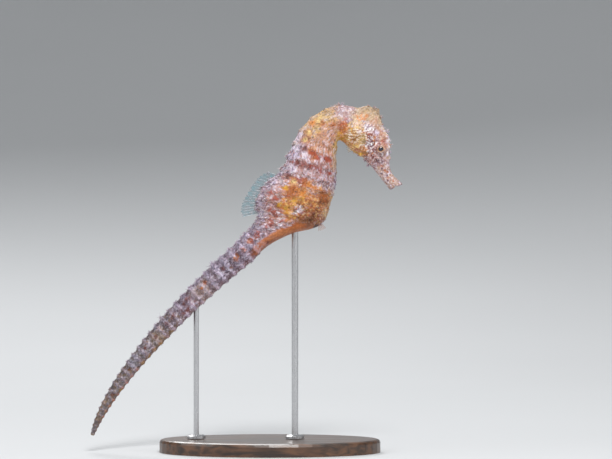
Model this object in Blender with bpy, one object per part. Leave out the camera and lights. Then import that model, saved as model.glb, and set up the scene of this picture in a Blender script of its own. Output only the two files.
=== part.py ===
"""A male seahorse in its swimming pose, life size, held over a flat base by two rods.

The animal faces +X and its mid plane is y = 0. The origin is the middle of the base's underside.
Sizes are in millimetres and MM turns them into Blender's metres.

The body is one loft from the tip of the tail to the lips. The position t along it counts bony
rings: 0 at the tail's tip, POUCH at the first ring under the pouch, VENT where the trunk begins,
NAPE where the head begins and LIPS at the mouth. The free tail follows a law of its own. Above it
a few landmark sections are joined by smooth curves, and named rises stand on that plain form.
"""

import math

import bmesh
import bpy
import numpy as np
from mathutils import Vector

MM = 0.001
GAP = 0.3

# Ring positions
POUCH, VENT, NAPE, SNOUT, LIPS = 29, 35, 46, 57.5, 62

# Free tail, from its base at ring POUCH down to the tip. Pitches are in degrees below the level.
TAIL_ROOT = (-9.3, 76.3)
TAIL_LENGTH = 92.0
TAIL_DEPTH, TIP_DEPTH = 9.4, 1.3
TAIL_WIDTH_SHARE = 0.92
RING_GROWTH = 1.35
PITCH_ROOT, PITCH_GAIN, PITCH_HOOK, HOOK_POWER = 40.0, 16.0, 16.0, 6

# Landmark sections: ring, middle (x, z), tilt of the depth from +X in degrees, depth, half width
# and outline
LANDMARKS = [
    (31, (-4.9, 80.7), 153, 10.5, 4.8, "pouch"),
    (33, (1.0, 84.6), 165, 15.0, 5.6, "pouch"),
    (VENT, (7.1, 87.5), 171, 23.5, 6.6, "trunk"),
    (38, (11.4, 96.8), 168, 24.2, 7.2, "trunk"),
    (40, (15.0, 104.8), 164, 21.6, 6.7, "trunk"),
    (43, (18.5, 118.5), 150, 16.4, 5.2, "neck"),
    (NAPE, (26.0, 125.0), 92, 13.8, 4.4, "neck"),
    (49, (33.6, 122.0), 76, 16.9, 5.1, "head"),
    (52, (38.7, 118.9), 63, 15.6, 4.7, "head"),
    (55, (41.3, 112.4), 40, 10.2, 3.5, "brow"),
    (57, (41.7, 110.3), 22, 7.8, 2.6, "snout"),
    (59, (43.6, 106.0), 21, 5.2, 2.0, "snout"),
    (LIPS, (48.0, 100.8), 25, 5.4, 2.1, "snout"),
]

# Rises of the back over the plain form: ring, height, reach in rings
FIN_HUMP = (37.5, 3.0, 1.8)
CORONET_RISE = (50.2, 2.2, 1.6)
BROW_RISE = (54.4, 0.9, 1.0)
RISES = [FIN_HUMP, CORONET_RISE, BROW_RISE]

# Half outlines from mid back to mid belly as (share of half width, share of half depth).
# Corners 1, 3 and 5 are the upper, side and lower ridges, and corner 7 is the keel.
TUBE = [(math.sin(math.pi * k / 7), math.cos(math.pi * k / 7)) for k in range(8)]
SECTIONS = {
    "tail": [
        (0, 0.88), (0.86, 1), (0.85, 0.5), (0.88, 0),
        (0.85, -0.5), (0.84, -1), (0.42, -0.92), (0, -0.88),
    ],
    "pouch": [
        (0, 0.9), (0.6, 1), (0.8, 0.5), (1, 0.1),
        (0.98, -0.4), (0.8, -0.78), (0.42, -0.96), (0, -1),
    ],
    "trunk": [
        (0, 0.95), (0.4, 1), (0.73, 0.54), (1, 0.08),
        (0.9, -0.3), (0.74, -0.62), (0.38, -0.85), (0, -1),
    ],
    "neck": [
        (0, 0.95), (0.42, 1), (0.8, 0.55), (1, 0.05),
        (0.95, -0.35), (0.74, -0.7), (0.4, -0.93), (0, -1),
    ],
    "head": [
        (0, 1), (0.3, 0.94), (0.5, 0.56), (0.84, 0.07),
        (1, -0.35), (0.86, -0.74), (0.46, -0.96), (0, -1),
    ],
    "brow": [
        (0, 0.9), (0.6, 1), (0.95, 0.6), (1, 0.1),
        (1, -0.35), (0.84, -0.7), (0.46, -0.93), (0, -1),
    ],
    "snout": TUBE,
}

# How deep the grooves between rings are, at each half-outline corner, and how that fades along t
RIDGE_SHARE = np.array([0.5, 1, 0.6, 1, 0.6, 1, 0.5, 0.45])
RELIEF_T = [0, 10, POUCH, VENT, 42, 45, NAPE + 0.6]
RELIEF_DEPTH = [0.15, 0.3, 0.6, 0.8, 0.75, 0.5, 0.0]
POUCH_SMOOTH = (POUCH + 0.8, VENT + 0.3)
CREST_SHARPNESS = 1.4

# Nodes of the loft: name, first ring, last ring, sections per ring, points per outline step
LENGTHS = [
    ("tail_tip", 0.4, 7, 2, 1),
    ("tail_fourth", 7, 13, 2, 1),
    ("tail_third", 13, 19, 2, 1),
    ("tail_second", 19, 25, 2, 1),
    ("tail_first", 25, 30, 2, 1),
    ("tail_base", 30, VENT, 4, 2),
    ("trunk_rear", VENT, 39, 4, 2),
    ("trunk_front", 39, 43, 4, 2),
    ("neck", 43, NAPE, 2, 2),
    ("head", NAPE, SNOUT, 2, 2),
    ("snout", SNOUT, LIPS, 2, 1),
]

# Face: eye and cheek as (x, z) on the flank, and the swellings there as place, radius and height.
# A swelling is whole where the head is FLANK or more from the mid plane.
EYE = (42.0, 115.0)
EYE_RADIUS, EYE_SIDE = 2.1, 2.75
CHEEK = (36.0, 118.0)
SWELLINGS = [(EYE, 2.6, 0.7), (CHEEK, 3.8, 0.7)]
FLANK = 2.5
SPINE_RADIUS, SPINE_HEIGHT, SPINE_SUNK, SPINE_SIDES = 0.75, 1.2, 0.7, 6
# Spines: root (x, y, z), the way they point as (x, y, z); those with y are paired
SPINES = [
    ((44.0, 2.2, 119.5), (0.6, 0.5, 1.0)),
    ((45.0, 0.0, 112.0), (1.0, 0.0, -0.1)),
    ((38.5, 1.6, 109.5), (-0.7, 0.5, -0.9)),
    ((34.5, 2.6, 113.0), (-0.5, 0.6, -0.9)),
]
CORONET_SPINES = [
    ((36.0, 1.2, 130.3), (-0.8, 0.7, 0.6)),
    ((39.0, 1.7, 130.5), (0.1, 0.9, 0.7)),
    ((41.0, 0.0, 130.0), (0.8, 0.0, 0.6)),
]
# Enlarged tubercles on the two upper ridges of the back: node and ring
TUBERCLES = [("trunk_front", 41.2), ("trunk_front", 39.9), ("tail_first", 26.5), ("tail_second", 19.5)]
# The coronet is what stands above the line between these two points
CORONET_LINE = ((32.5, 130.0), (44.5, 125.5))
# The pouch is what hangs below the line between these two points
POUCH_LINE = ((-4.5, 81.5), (23.0, 90.0))

# Fins are flat fans of rays. The back fin's rays all trail and turn a little from its rear root to
# its front one. They are longest at the rear, shorter by DORSAL_DIP over the hump, and both ends of
# the margin have a round corner. Their roots stand DORSAL_CLEAR over the mid back, so that no
# ring's crest touches.
FIN_THICKNESS = 0.6
DORSAL_RINGS = (35.6, 39.4)
DORSAL_RAYS = 18
DORSAL_TURN = (194, 158)
DORSAL_REAR, DORSAL_FRONT, DORSAL_DIP, DORSAL_CLEAR = 7.4, 4.8, 1.4, 0.5
DORSAL_CORNER, CORNER_POWER = 1.2, 8
ANAL_ROOT, ANAL_LENGTH, ANAL_WAY, ANAL_SPREAD, ANAL_WIDTH = (19.4, 85.9), 1.7, -70, 50, 0.9
PECTORAL_ROOT, PECTORAL_LENGTH, PECTORAL_WAY = (36.2, 119.2), 7.6, 186
PECTORAL_SPREAD, PECTORAL_WIDTH = 44, 3.4
PECTORAL_OUT, PECTORAL_FLARE = 6.3, 20.0

# Stand
BASE_LENGTH, BASE_WIDTH, BASE_HEIGHT, BASE_EDGE, BASE_SIDES = 84.0, 50.0, 5.0, 1.2, 48
ROD_FOOT_RADIUS, ROD_FOOT_HEIGHT, ROD_FOOT_SHOULDER, ROD_SIDES = 3.6, 1.4, 0.75, 16
BORE_DEPTH = 25.0
# Rods: name, x, radius, height of the top inside the body, the node it enters
RODS = [
    ("stand_rod_trunk", 9.5, 1.25, 84.8, "brood_pouch"),
    ("stand_rod_tail", -28.0, 1.0, 58.0, "tail_second"),
]

COLOURS = {
    "body": ((0.62, 0.36, 0.24), 0.75, 0.0),
    "pouch": ((0.62, 0.27, 0.10), 0.6, 0.0),
    "head": ((0.66, 0.45, 0.24), 0.7, 0.0),
    "eye": ((0.05, 0.03, 0.05), 0.15, 0.0),
    "fin": ((0.75, 0.72, 0.62), 0.5, 0.0),
    "base": ((0.16, 0.09, 0.05), 0.45, 0.0),
    "rod": ((0.62, 0.62, 0.64), 0.3, 1.0),
}


def clear_scene():
    for obj in list(bpy.data.objects):
        bpy.data.objects.remove(obj)


def material(name):
    found = bpy.data.materials.get(name)
    if found:
        return found
    colour, roughness, metallic = COLOURS[name]
    made = bpy.data.materials.new(name)
    made.use_nodes = True
    shader = made.node_tree.nodes["Principled BSDF"]
    shader.inputs["Base Color"].default_value = (*colour, 1)
    shader.inputs["Roughness"].default_value = roughness
    shader.inputs["Metallic"].default_value = metallic
    return made


def add_object(name, bm, finish, smooth_angle=40):
    """A bmesh in millimetres becomes a named object in metres."""
    bmesh.ops.scale(bm, vec=(MM, MM, MM), verts=bm.verts)
    bmesh.ops.recalc_face_normals(bm, faces=bm.faces)
    mesh = bpy.data.meshes.new(name)
    bm.to_mesh(mesh)
    bm.free()
    mesh.shade_smooth()
    mesh.set_sharp_from_angle(angle=math.radians(smooth_angle))
    mesh.materials.append(material(finish))
    obj = bpy.data.objects.new(name, mesh)
    bpy.context.scene.collection.objects.link(obj)
    return obj


def spline(knots, values, t):
    """A smooth curve through the values: cubic pieces whose slopes come from the neighbours."""
    slopes = np.gradient(values, knots, axis=0)
    i = int(np.clip(np.searchsorted(knots, t) - 1, 0, len(knots) - 2))
    span = knots[i + 1] - knots[i]
    u = (t - knots[i]) / span
    return (
        values[i] * (1 + 2 * u) * (1 - u) ** 2
        + slopes[i] * span * u * (1 - u) ** 2
        + values[i + 1] * (3 - 2 * u) * u**2
        + slopes[i + 1] * span * (u - 1) * u**2
    )


def tail_rows():
    """Sections of the free tail. It is walked from its root, and its pitch steepens to the tip."""
    share = np.linspace(0, 1, 400)
    pitch = PITCH_ROOT + PITCH_GAIN * share + PITCH_HOOK * share**HOOK_POWER
    step = TAIL_LENGTH / (len(share) - 1)
    x = TAIL_ROOT[0] - np.cumsum(np.cos(np.radians(pitch))) * step
    z = TAIL_ROOT[1] - np.cumsum(np.sin(np.radians(pitch))) * step
    rows = []
    for ring in range(POUCH + 1):
        from_tip = (ring / POUCH) ** RING_GROWTH
        place = [np.interp(1 - from_tip, share, column) for column in (x, z, pitch)]
        depth = math.sqrt(TAIL_DEPTH**2 * from_tip + TIP_DEPTH**2)
        rows.append([*place[:2], place[2] + 90, depth, depth / 2 * TAIL_WIDTH_SHARE])
    return rows


def body_tables():
    """Knots, then middle x, middle z, tilt, depth and half width at each, and the half outlines."""
    knots = [*range(POUCH + 1), *(row[0] for row in LANDMARKS)]
    values = tail_rows() + [[*row[1], *row[2:5]] for row in LANDMARKS]
    shapes = [SECTIONS["tail"]] * (POUCH + 1) + [SECTIONS[row[5]] for row in LANDMARKS]
    return np.array(knots, float), np.array(values), np.array(shapes, float)


KNOTS, PLACES, SHAPES = body_tables()


def rails(t):
    """Dorsal point, ventral point and half width of the section at ring position t."""
    x, z, tilt, depth, half_width = spline(KNOTS, PLACES, t)
    up = np.array([math.cos(math.radians(tilt)), math.sin(math.radians(tilt))])
    dorsal = np.array([x, z]) + up * depth / 2
    ventral = np.array([x, z]) - up * depth / 2
    for ring, height, reach in RISES:
        dorsal = dorsal + up * height * math.exp(-(((t - ring) / reach) ** 4))
    return dorsal, ventral, half_width


def ring_inset(t):
    """How far the groove between two rings lies under the ring's crest, at each outline corner."""
    crest = (0.5 + 0.5 * math.cos(2 * math.pi * t)) ** CREST_SHARPNESS
    share = RIDGE_SHARE.copy()
    if POUCH_SMOOTH[0] < t < POUCH_SMOOTH[1]:
        share[4:] = 0
    return np.interp(t, RELIEF_T, RELIEF_DEPTH) * (1 - crest) * share


def section(t, steps):
    """The closed outline at ring position t, as points (x, y, z), with steps points per corner."""
    dorsal, ventral, half_width = rails(t)
    middle, reach = (dorsal + ventral) / 2, (dorsal - ventral) / 2
    weights = np.array([np.interp(t, KNOTS, column) for column in SHAPES.reshape(len(KNOTS), -1).T])
    half = weights.reshape(-1, 2) * [half_width, 1]
    depth = np.linalg.norm(reach)
    length = np.hypot(half[:, 0], half[:, 1] * depth)
    half = half * (1 - ring_inset(t) / length)[:, None]
    whole = np.concatenate([half, half[-2:0:-1] * [-1, 1]])
    corners = len(whole)
    points = []
    for i in range(corners):
        before, a, b, after = (whole[(i + k) % corners] for k in (-1, 0, 1, 2))
        for u in np.arange(steps) / steps:
            bulge = (2 * a - before - b) * (1 - u) + (2 * b - a - after) * u
            lateral, up = a + (b - a) * u + bulge * u * (1 - u) / 4
            x, z = middle + reach * up
            points.append((x, lateral, z))
    return np.array(points)


def swell(points):
    """Pushes the head's flanks out over the eyes and the gill covers."""
    for (x, z), radius, height in SWELLINGS:
        away = np.hypot(points[:, 0] - x, points[:, 2] - z) / radius
        side = np.clip(points[:, 1] / FLANK, -1, 1)
        points[:, 1] += side * height * np.exp(-(away**2))
    return points


def loft(first, last, per_ring, steps, closing_gap=(True, True)):
    """A closed solid between two ring positions. Each end face stands back by half the gap."""
    count = max(2, round((last - first) * per_ring))
    rows = [swell(section(t, steps)) for t in np.linspace(first, last, count + 1)]
    for end, inner, has_gap in ((0, 1, closing_gap[0]), (-1, -2, closing_gap[1])):
        if has_gap:
            spread = rows[end] - rows[end].mean(0)
            normal = np.linalg.svd(spread)[2][2]
            inward = (rows[inner] - rows[end]).mean(0)
            rows[end] = rows[end] + normal * math.copysign(GAP / 2, float(normal @ inward))
    bm = bmesh.new()
    rings = [[bm.verts.new(p) for p in row] for row in rows]
    for a, b in zip(rings, rings[1:]):
        for i in range(len(a)):
            j = (i + 1) % len(a)
            bm.faces.new((a[i], a[j], b[j], b[i]))
    bm.faces.new(rings[0][::-1])
    bm.faces.new(rings[-1])
    return bm


def cut_by_line(bm, line, keep_above):
    """Keeps what stands above a line of the mid plane, or below it, back from it by half the gap."""
    (x0, z0), (x1, z1) = line
    along = Vector((x1 - x0, 0, z1 - z0)).normalized()
    up = Vector((-along.z, 0, along.x))
    side = 1 if keep_above else -1
    at = Vector((x0, 0, z0)) + up * side * GAP / 2
    cut = bmesh.ops.bisect_plane(
        bm,
        geom=bm.verts[:] + bm.edges[:] + bm.faces[:],
        plane_co=at,
        plane_no=up * side,
        clear_inner=True,
    )
    edges = [e for e in cut["geom_cut"] if isinstance(e, bmesh.types.BMEdge)]
    bmesh.ops.edgeloop_fill(bm, edges=edges)
    return bm


def cone(root, way):
    """A blunt spine with its foot sunk under the surface, as a helper object."""
    bm = bmesh.new()
    bmesh.ops.create_cone(
        bm,
        segments=SPINE_SIDES,
        radius1=SPINE_RADIUS,
        radius2=SPINE_RADIUS / 4,
        depth=SPINE_HEIGHT + SPINE_SUNK,
        cap_ends=True,
    )
    turn = Vector(way).to_track_quat("Z", "Y")
    middle = Vector(root) + Vector(way).normalized() * (SPINE_HEIGHT - SPINE_SUNK) / 2
    for v in bm.verts:
        v.co = turn @ v.co + middle
    return helper("spine", bm)


def helper(name, bm):
    """A cutter or an addition for a Boolean, left out of the model."""
    obj = add_object(name, bm, "body")
    obj.hide_render = True
    obj.display_type = "WIRE"
    return obj


def boolean(obj, other, operation):
    made = obj.modifiers.new(other.name, "BOOLEAN")
    made.operation = operation
    made.object = other


def add_spines(obj, spines):
    for root, way in spines:
        for side in (1, -1) if root[1] else (1,):
            mirror = np.array([1, side, 1])
            boolean(obj, cone(root * mirror, way * mirror), "UNION")


def back_tubercle(ring):
    """Root and direction of the paired tubercle on the upper ridges at a ring."""
    x, y, z = section(ring, 1)[1]
    dorsal, ventral, _ = rails(ring)
    up = (dorsal - ventral) / np.linalg.norm(dorsal - ventral)
    return (x, y, z), (up[0], 0.3, up[1])


def ball(radius, centre):
    bm = bmesh.new()
    bmesh.ops.create_uvsphere(bm, u_segments=14, v_segments=8, radius=radius)
    bmesh.ops.translate(bm, vec=centre, verts=bm.verts)
    return bm


def make_eyes(head):
    for name, side in (("eye_left", 1), ("eye_right", -1)):
        centre = (EYE[0], side * EYE_SIDE, EYE[1])
        boolean(head, helper(name + "_socket", ball(EYE_RADIUS + GAP, centre)), "DIFFERENCE")
        add_object(name, ball(EYE_RADIUS, centre), "eye", 180)


def make_animal():
    """The loft's nodes, with the pouch parted from the tail base and the coronet from the head."""
    made = {}
    for name, first, last, per_ring, steps in LENGTHS:
        gaps = (name != "tail_tip", name != "snout")
        finish = "head" if name in ("head", "snout") else "body"
        bm = loft(first, last, per_ring, steps, gaps)
        if name == "tail_base":
            pouch = cut_by_line(bm.copy(), POUCH_LINE, False)
            made["brood_pouch"] = add_object("brood_pouch", pouch, "pouch")
            cut_by_line(bm, POUCH_LINE, True)
        if name == "head":
            crown = cut_by_line(bm.copy(), CORONET_LINE, True)
            made["coronet"] = add_object("coronet", crown, "head")
            cut_by_line(bm, CORONET_LINE, False)
        made[name] = add_object(name, bm, finish)
    add_spines(made["coronet"], CORONET_SPINES)
    add_spines(made["head"], SPINES)
    for name, ring in TUBERCLES:
        add_spines(made[name], [back_tubercle(ring)])
    make_eyes(made["head"])
    return made


def plate(outline):
    """A flat fin: an outline in the (x, z) plane given a thickness along y."""
    bm = bmesh.new()
    face = bm.faces.new([bm.verts.new((x, -FIN_THICKNESS / 2, z)) for x, z in outline])
    moved = bmesh.ops.extrude_face_region(bm, geom=[face])["geom"]
    far_side = [v for v in moved if isinstance(v, bmesh.types.BMVert)]
    bmesh.ops.translate(bm, vec=(0, FIN_THICKNESS, 0), verts=far_side)
    return bm


def fan(root, length, way, spread, width, rays=9):
    """The outline of a small fin: a narrow root and a round margin, with rays between them."""
    root = np.array(root)
    angles = np.radians(way + np.linspace(-spread / 2, spread / 2, rays))
    foot = np.array([math.sin(math.radians(way)), -math.cos(math.radians(way))]) * width / 2
    rim = [root + length * np.array([math.cos(a), math.sin(a)]) for a in angles]
    return [root + foot, *rim, root - foot]


def dorsal_outline():
    """The back fin: roots just clear of the mid back, and a tip on each ray."""
    roots, tips = [], []
    for share in np.linspace(0, 1, DORSAL_RAYS):
        ring = np.interp(share, (0, 1), DORSAL_RINGS)
        dorsal, ventral, _ = rails(ring)
        up = (dorsal - ventral) / np.linalg.norm(dorsal - ventral)
        root = section(ring, 1)[0][[0, 2]] + up * DORSAL_CLEAR
        angle = math.radians(np.interp(share, (0, 1), DORSAL_TURN))
        length = DORSAL_REAR + (DORSAL_FRONT - DORSAL_REAR) * share
        length -= DORSAL_DIP * math.sin(math.pi * share)
        length -= DORSAL_CORNER * (share**CORNER_POWER + (1 - share) ** CORNER_POWER)
        roots.append(root)
        tips.append(root + length * np.array([math.cos(angle), math.sin(angle)]))
    return roots + tips[::-1]


def make_fins():
    add_object("dorsal_fin", plate(dorsal_outline()), "fin")
    anal = fan(ANAL_ROOT, ANAL_LENGTH, ANAL_WAY, ANAL_SPREAD, ANAL_WIDTH)
    add_object("anal_fin", plate(anal), "fin")

    pectoral = fan(PECTORAL_ROOT, PECTORAL_LENGTH, PECTORAL_WAY, PECTORAL_SPREAD, PECTORAL_WIDTH)
    lean = math.tan(math.radians(PECTORAL_FLARE))
    for name, side in (("pectoral_fin_left", 1), ("pectoral_fin_right", -1)):
        bm = plate(pectoral)
        for v in bm.verts:
            v.co.y = side * (PECTORAL_OUT + v.co.y + (PECTORAL_ROOT[0] - v.co.x) * lean)
        add_object(name, bm, "fin")


def make_base():
    bm = bmesh.new()
    bmesh.ops.create_cone(
        bm,
        segments=BASE_SIDES,
        radius1=BASE_LENGTH / 2,
        radius2=BASE_LENGTH / 2,
        depth=BASE_HEIGHT,
        cap_ends=True,
    )
    bmesh.ops.scale(bm, vec=(1, BASE_WIDTH / BASE_LENGTH, 1), verts=bm.verts)
    bmesh.ops.translate(bm, vec=(0, 0, BASE_HEIGHT / 2), verts=bm.verts)
    rim = [e for e in bm.edges if all(v.co.z > BASE_HEIGHT / 2 for v in e.verts)]
    bmesh.ops.bevel(bm, geom=rim, offset=BASE_EDGE, segments=2, profile=0.5, affect="EDGES")
    add_object("stand_base", bm, "base")


def turned(profile, x):
    """A closed solid turned about the vertical at x, from (radius, z) points, bottom to top."""
    bm = bmesh.new()
    verts = [bm.verts.new((x + r, 0, z)) for r, z in profile]
    edges = [bm.edges.new(pair) for pair in zip(verts, verts[1:])]
    bmesh.ops.spin(
        bm,
        geom=verts + edges,
        cent=(x, 0, 0),
        axis=(0, 0, 1),
        angle=2 * math.pi,
        steps=ROD_SIDES,
        use_merge=True,
    )
    bmesh.ops.remove_doubles(bm, verts=bm.verts, dist=1e-4)
    return bm


def make_rods(body):
    """Each rod stands on the base by a flanged foot, and its top is let into the body."""
    floor = BASE_HEIGHT + GAP
    for name, x, radius, top, node in RODS:
        profile = [
            (0, floor),
            (ROD_FOOT_RADIUS, floor),
            (ROD_FOOT_RADIUS, floor + ROD_FOOT_HEIGHT * 0.6),
            (ROD_FOOT_RADIUS * ROD_FOOT_SHOULDER, floor + ROD_FOOT_HEIGHT),
            (radius, floor + ROD_FOOT_HEIGHT),
            (radius, top),
            (0, top),
        ]
        add_object(name, turned(profile, x), "rod")
        bore = [
            (0, top - BORE_DEPTH),
            (radius + GAP, top - BORE_DEPTH),
            (radius + GAP, top + GAP),
            (0, top + GAP),
        ]
        boolean(body[node], helper(name + "_bore", turned(bore, x)), "DIFFERENCE")


def main():
    clear_scene()
    body = make_animal()
    make_fins()
    make_base()
    make_rods(body)


main()
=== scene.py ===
"""The looks of a life-size museum model of a male seahorse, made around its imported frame.

The animal faces +X, its mid plane is y = 0, and the camera sees its right side. Lengths are in
millimetres until add_piece turns them into Blender's metres. As in the frame's own solids, the
body is one loft: t counts bony rings from the tail's tip (0) to the lips (LIPS), and u counts
the corners of the outline from the mid back (0) by the mid belly (7) and round again (14).
A marking's place is its ring and its share of the depth, from 0 at the back to 1 at the belly.
"""

import functools
import math

import bpy
import numpy as np
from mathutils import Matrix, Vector, noise


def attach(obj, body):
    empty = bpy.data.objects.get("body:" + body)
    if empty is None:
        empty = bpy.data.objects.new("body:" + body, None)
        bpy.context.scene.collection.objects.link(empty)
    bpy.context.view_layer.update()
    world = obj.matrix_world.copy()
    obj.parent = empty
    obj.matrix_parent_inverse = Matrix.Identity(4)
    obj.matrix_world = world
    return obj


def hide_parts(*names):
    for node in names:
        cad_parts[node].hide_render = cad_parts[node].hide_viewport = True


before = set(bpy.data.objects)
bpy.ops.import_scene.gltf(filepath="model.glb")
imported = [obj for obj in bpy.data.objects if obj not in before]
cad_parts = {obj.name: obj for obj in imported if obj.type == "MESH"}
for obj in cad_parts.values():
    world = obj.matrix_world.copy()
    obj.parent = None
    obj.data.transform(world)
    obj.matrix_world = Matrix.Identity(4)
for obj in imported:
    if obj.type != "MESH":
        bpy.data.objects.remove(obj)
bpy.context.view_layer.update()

MM = 0.001
CORNERS = 14

# Body form, as in the frame's solids
POUCH, VENT, NAPE, SNOUT, LIPS = 29, 35, 46, 57.5, 62
TAIL_ROOT, TAIL_LENGTH, RING_GROWTH = (-9.3, 76.3), 92.0, 1.35
TAIL_DEPTH, TIP_DEPTH, TAIL_WIDTH_SHARE = 9.4, 1.3, 0.92
PITCH_ROOT, PITCH_GAIN, PITCH_HOOK, HOOK_POWER = 40.0, 16.0, 16.0, 6
LANDMARKS = [
    (31, (-4.9, 80.7), 153, 10.5, 4.8, "pouch"),
    (33, (1.0, 84.6), 165, 15.0, 5.6, "pouch"),
    (VENT, (7.1, 87.5), 171, 23.5, 6.6, "trunk"),
    (38, (11.4, 96.8), 168, 24.2, 7.2, "trunk"),
    (40, (15.0, 104.8), 164, 21.6, 6.7, "trunk"),
    (43, (18.5, 118.5), 150, 16.4, 5.2, "neck"),
    (NAPE, (26.0, 125.0), 92, 13.8, 4.4, "neck"),
    (49, (33.6, 122.0), 76, 16.9, 5.1, "head"),
    (52, (38.7, 118.9), 63, 15.6, 4.7, "head"),
    (55, (41.3, 112.4), 40, 10.2, 3.5, "brow"),
    (57, (41.7, 110.3), 22, 7.8, 2.6, "snout"),
    (59, (43.6, 106.0), 21, 5.2, 2.0, "snout"),
    (LIPS, (48.0, 100.8), 25, 5.4, 2.1, "snout"),
]
# Rises of the back: ring, height and reach along the rings
RISES, RISE_POWER = [(37.5, 3.0, 1.8), (50.2, 2.2, 1.6), (54.4, 0.9, 1.0)], 4
# Half outlines, from the mid back to the mid belly: (share of the half width, of half the depth)
SECTIONS = {
    "tail": [
        (0, 0.88), (0.86, 1), (0.85, 0.5), (0.88, 0),
        (0.85, -0.5), (0.84, -1), (0.42, -0.92), (0, -0.88),
    ],
    "pouch": [
        (0, 0.9), (0.6, 1), (0.8, 0.5), (1, 0.1),
        (0.98, -0.4), (0.8, -0.78), (0.42, -0.96), (0, -1),
    ],
    "trunk": [
        (0, 0.95), (0.4, 1), (0.73, 0.54), (1, 0.08),
        (0.9, -0.3), (0.74, -0.62), (0.38, -0.85), (0, -1),
    ],
    "neck": [
        (0, 0.95), (0.42, 1), (0.8, 0.55), (1, 0.05),
        (0.95, -0.35), (0.74, -0.7), (0.4, -0.93), (0, -1),
    ],
    "head": [
        (0, 1), (0.3, 0.94), (0.5, 0.56), (0.84, 0.07),
        (1, -0.35), (0.86, -0.74), (0.46, -0.96), (0, -1),
    ],
    "brow": [
        (0, 0.9), (0.6, 1), (0.95, 0.6), (1, 0.1),
        (1, -0.35), (0.84, -0.7), (0.46, -0.93), (0, -1),
    ],
    "snout": [(math.sin(math.pi * k / 7), math.cos(math.pi * k / 7)) for k in range(8)],
}
RIDGE_SHARE = np.array([0.5, 1, 0.6, 1, 0.6, 1, 0.5, 0.45])
RELIEF_T = [0, 10, POUCH, VENT, 42, 45, NAPE + 0.6]
RELIEF_DEPTH = [0.15, 0.3, 0.4, 0.25, 0.18, 0.08, 0.0]
POUCH_SMOOTH, POUCH_CORNER = (POUCH + 0.8, VENT + 0.3), 4
CREST_SHARPNESS = 1.4
EYE, EYE_RADIUS, EYE_SIDE = (42.0, 115.0), 2.1, 2.75
CHEEK = (36.0, 118.0)
SWELLINGS = [(EYE, 2.6, 0.7), (CHEEK, 3.8, 0.7)]
FLANK = 2.5

# Skin: points along and around, and how deep it lies in the solids to leave room for its relief.
# STREAK_SQUASH draws out the chest's streaks along the body
SKIN_ALONG, SKIN_AROUND = 700, 126
SKIN_START = 0.4
DEPTH_RINGS, COAT_DEPTH = [0, 15, NAPE, 52, LIPS], [0.1, 0.3, 0.3, 0.2, 0.05]
STREAK_SQUASH = 0.3

PALETTE = {
    "frost": (200, 186, 208),
    "white": (240, 234, 236),
    "mauve": (136, 110, 124),
    "lilac": (150, 140, 190),
    "plum": (80, 50, 66),
    "ink": (42, 26, 34),
    "salmon": (200, 130, 84),
    "orange": (200, 122, 44),
    "rust": (162, 84, 26),
    "umber": (100, 50, 12),
    "red": (162, 66, 40),
    "maroon": (104, 40, 28),
    "cream": (234, 200, 134),
    "yellow": (212, 164, 44),
    "olive": (130, 96, 32),
    "sand": (194, 162, 116),
    "bark": (84, 78, 72),
    "slate": (112, 116, 126),
    "teal": (70, 140, 152),
    "rose": (180, 130, 112),
}


def linear(name):
    """A palette colour, from sRGB bytes to linear light."""
    share = np.array(PALETTE[name]) / 255
    return np.where(share <= 0.04045, share / 12.92, ((share + 0.055) / 1.055) ** 2.4)


# Body ---------------------------------------------------------------------------------------------


def bell(value, reach=1.0, power=2):
    """1 where the value is 0, and fading to nothing beyond the reach."""
    return np.exp(-(np.abs(value / reach) ** power))


def soft_step(value, low, high):
    """0 below low, 1 above high, and a smooth rise between them."""
    share = np.clip((value - low) / (high - low), 0, 1)
    return share * share * (3 - 2 * share)


def window(value, rise, fall):
    """1 between two soft edges and 0 outside them; each edge has a start and an end."""
    return soft_step(value, *rise) * (1 - soft_step(value, *fall))


def within(value, limits, edge):
    """1 between the limits, each of them softened by the edge."""
    return window(value, *((limit - edge, limit + edge) for limit in limits))


def unit(ways):
    """Ways at a length of 1."""
    return ways / (np.linalg.norm(ways, axis=-1, keepdims=True) + 1e-9)


def upright(x, z, y=0.0):
    """Points or ways from their x and z, at the mid plane unless y is given."""
    return np.column_stack([x, np.zeros(len(x)) + y, z])


def distance(points, place):
    """How far each point is from a place (x, z), seen from the side."""
    return np.hypot(points[:, 0] - place[0], points[:, 2] - place[1])


def ring_crest(t):
    """1 where two plates meet in a raised ring, and 0 midway between two rings."""
    return 0.5 + 0.5 * np.cos(2 * np.pi * t)


def on_pouch(t):
    """Whether a ring belongs to the smooth pouch."""
    return (t > POUCH_SMOOTH[0]) & (t < POUCH_SMOOTH[1])


def spline(knots, values, t):
    """Smooth curves through the values at many t: cubic pieces with slopes from the neighbours."""
    slopes = np.gradient(values, knots, axis=0)
    i = np.clip(np.searchsorted(knots, t) - 1, 0, len(knots) - 2)
    fill = (-1,) + (1,) * (values.ndim - 1)
    span = (knots[i + 1] - knots[i]).reshape(fill)
    u = (t - knots[i]).reshape(fill) / span
    return (
        values[i] * (1 + 2 * u) * (1 - u) ** 2
        + slopes[i] * span * u * (1 - u) ** 2
        + values[i + 1] * (3 - 2 * u) * u**2
        + slopes[i + 1] * span * (u - 1) * u**2
    )


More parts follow.
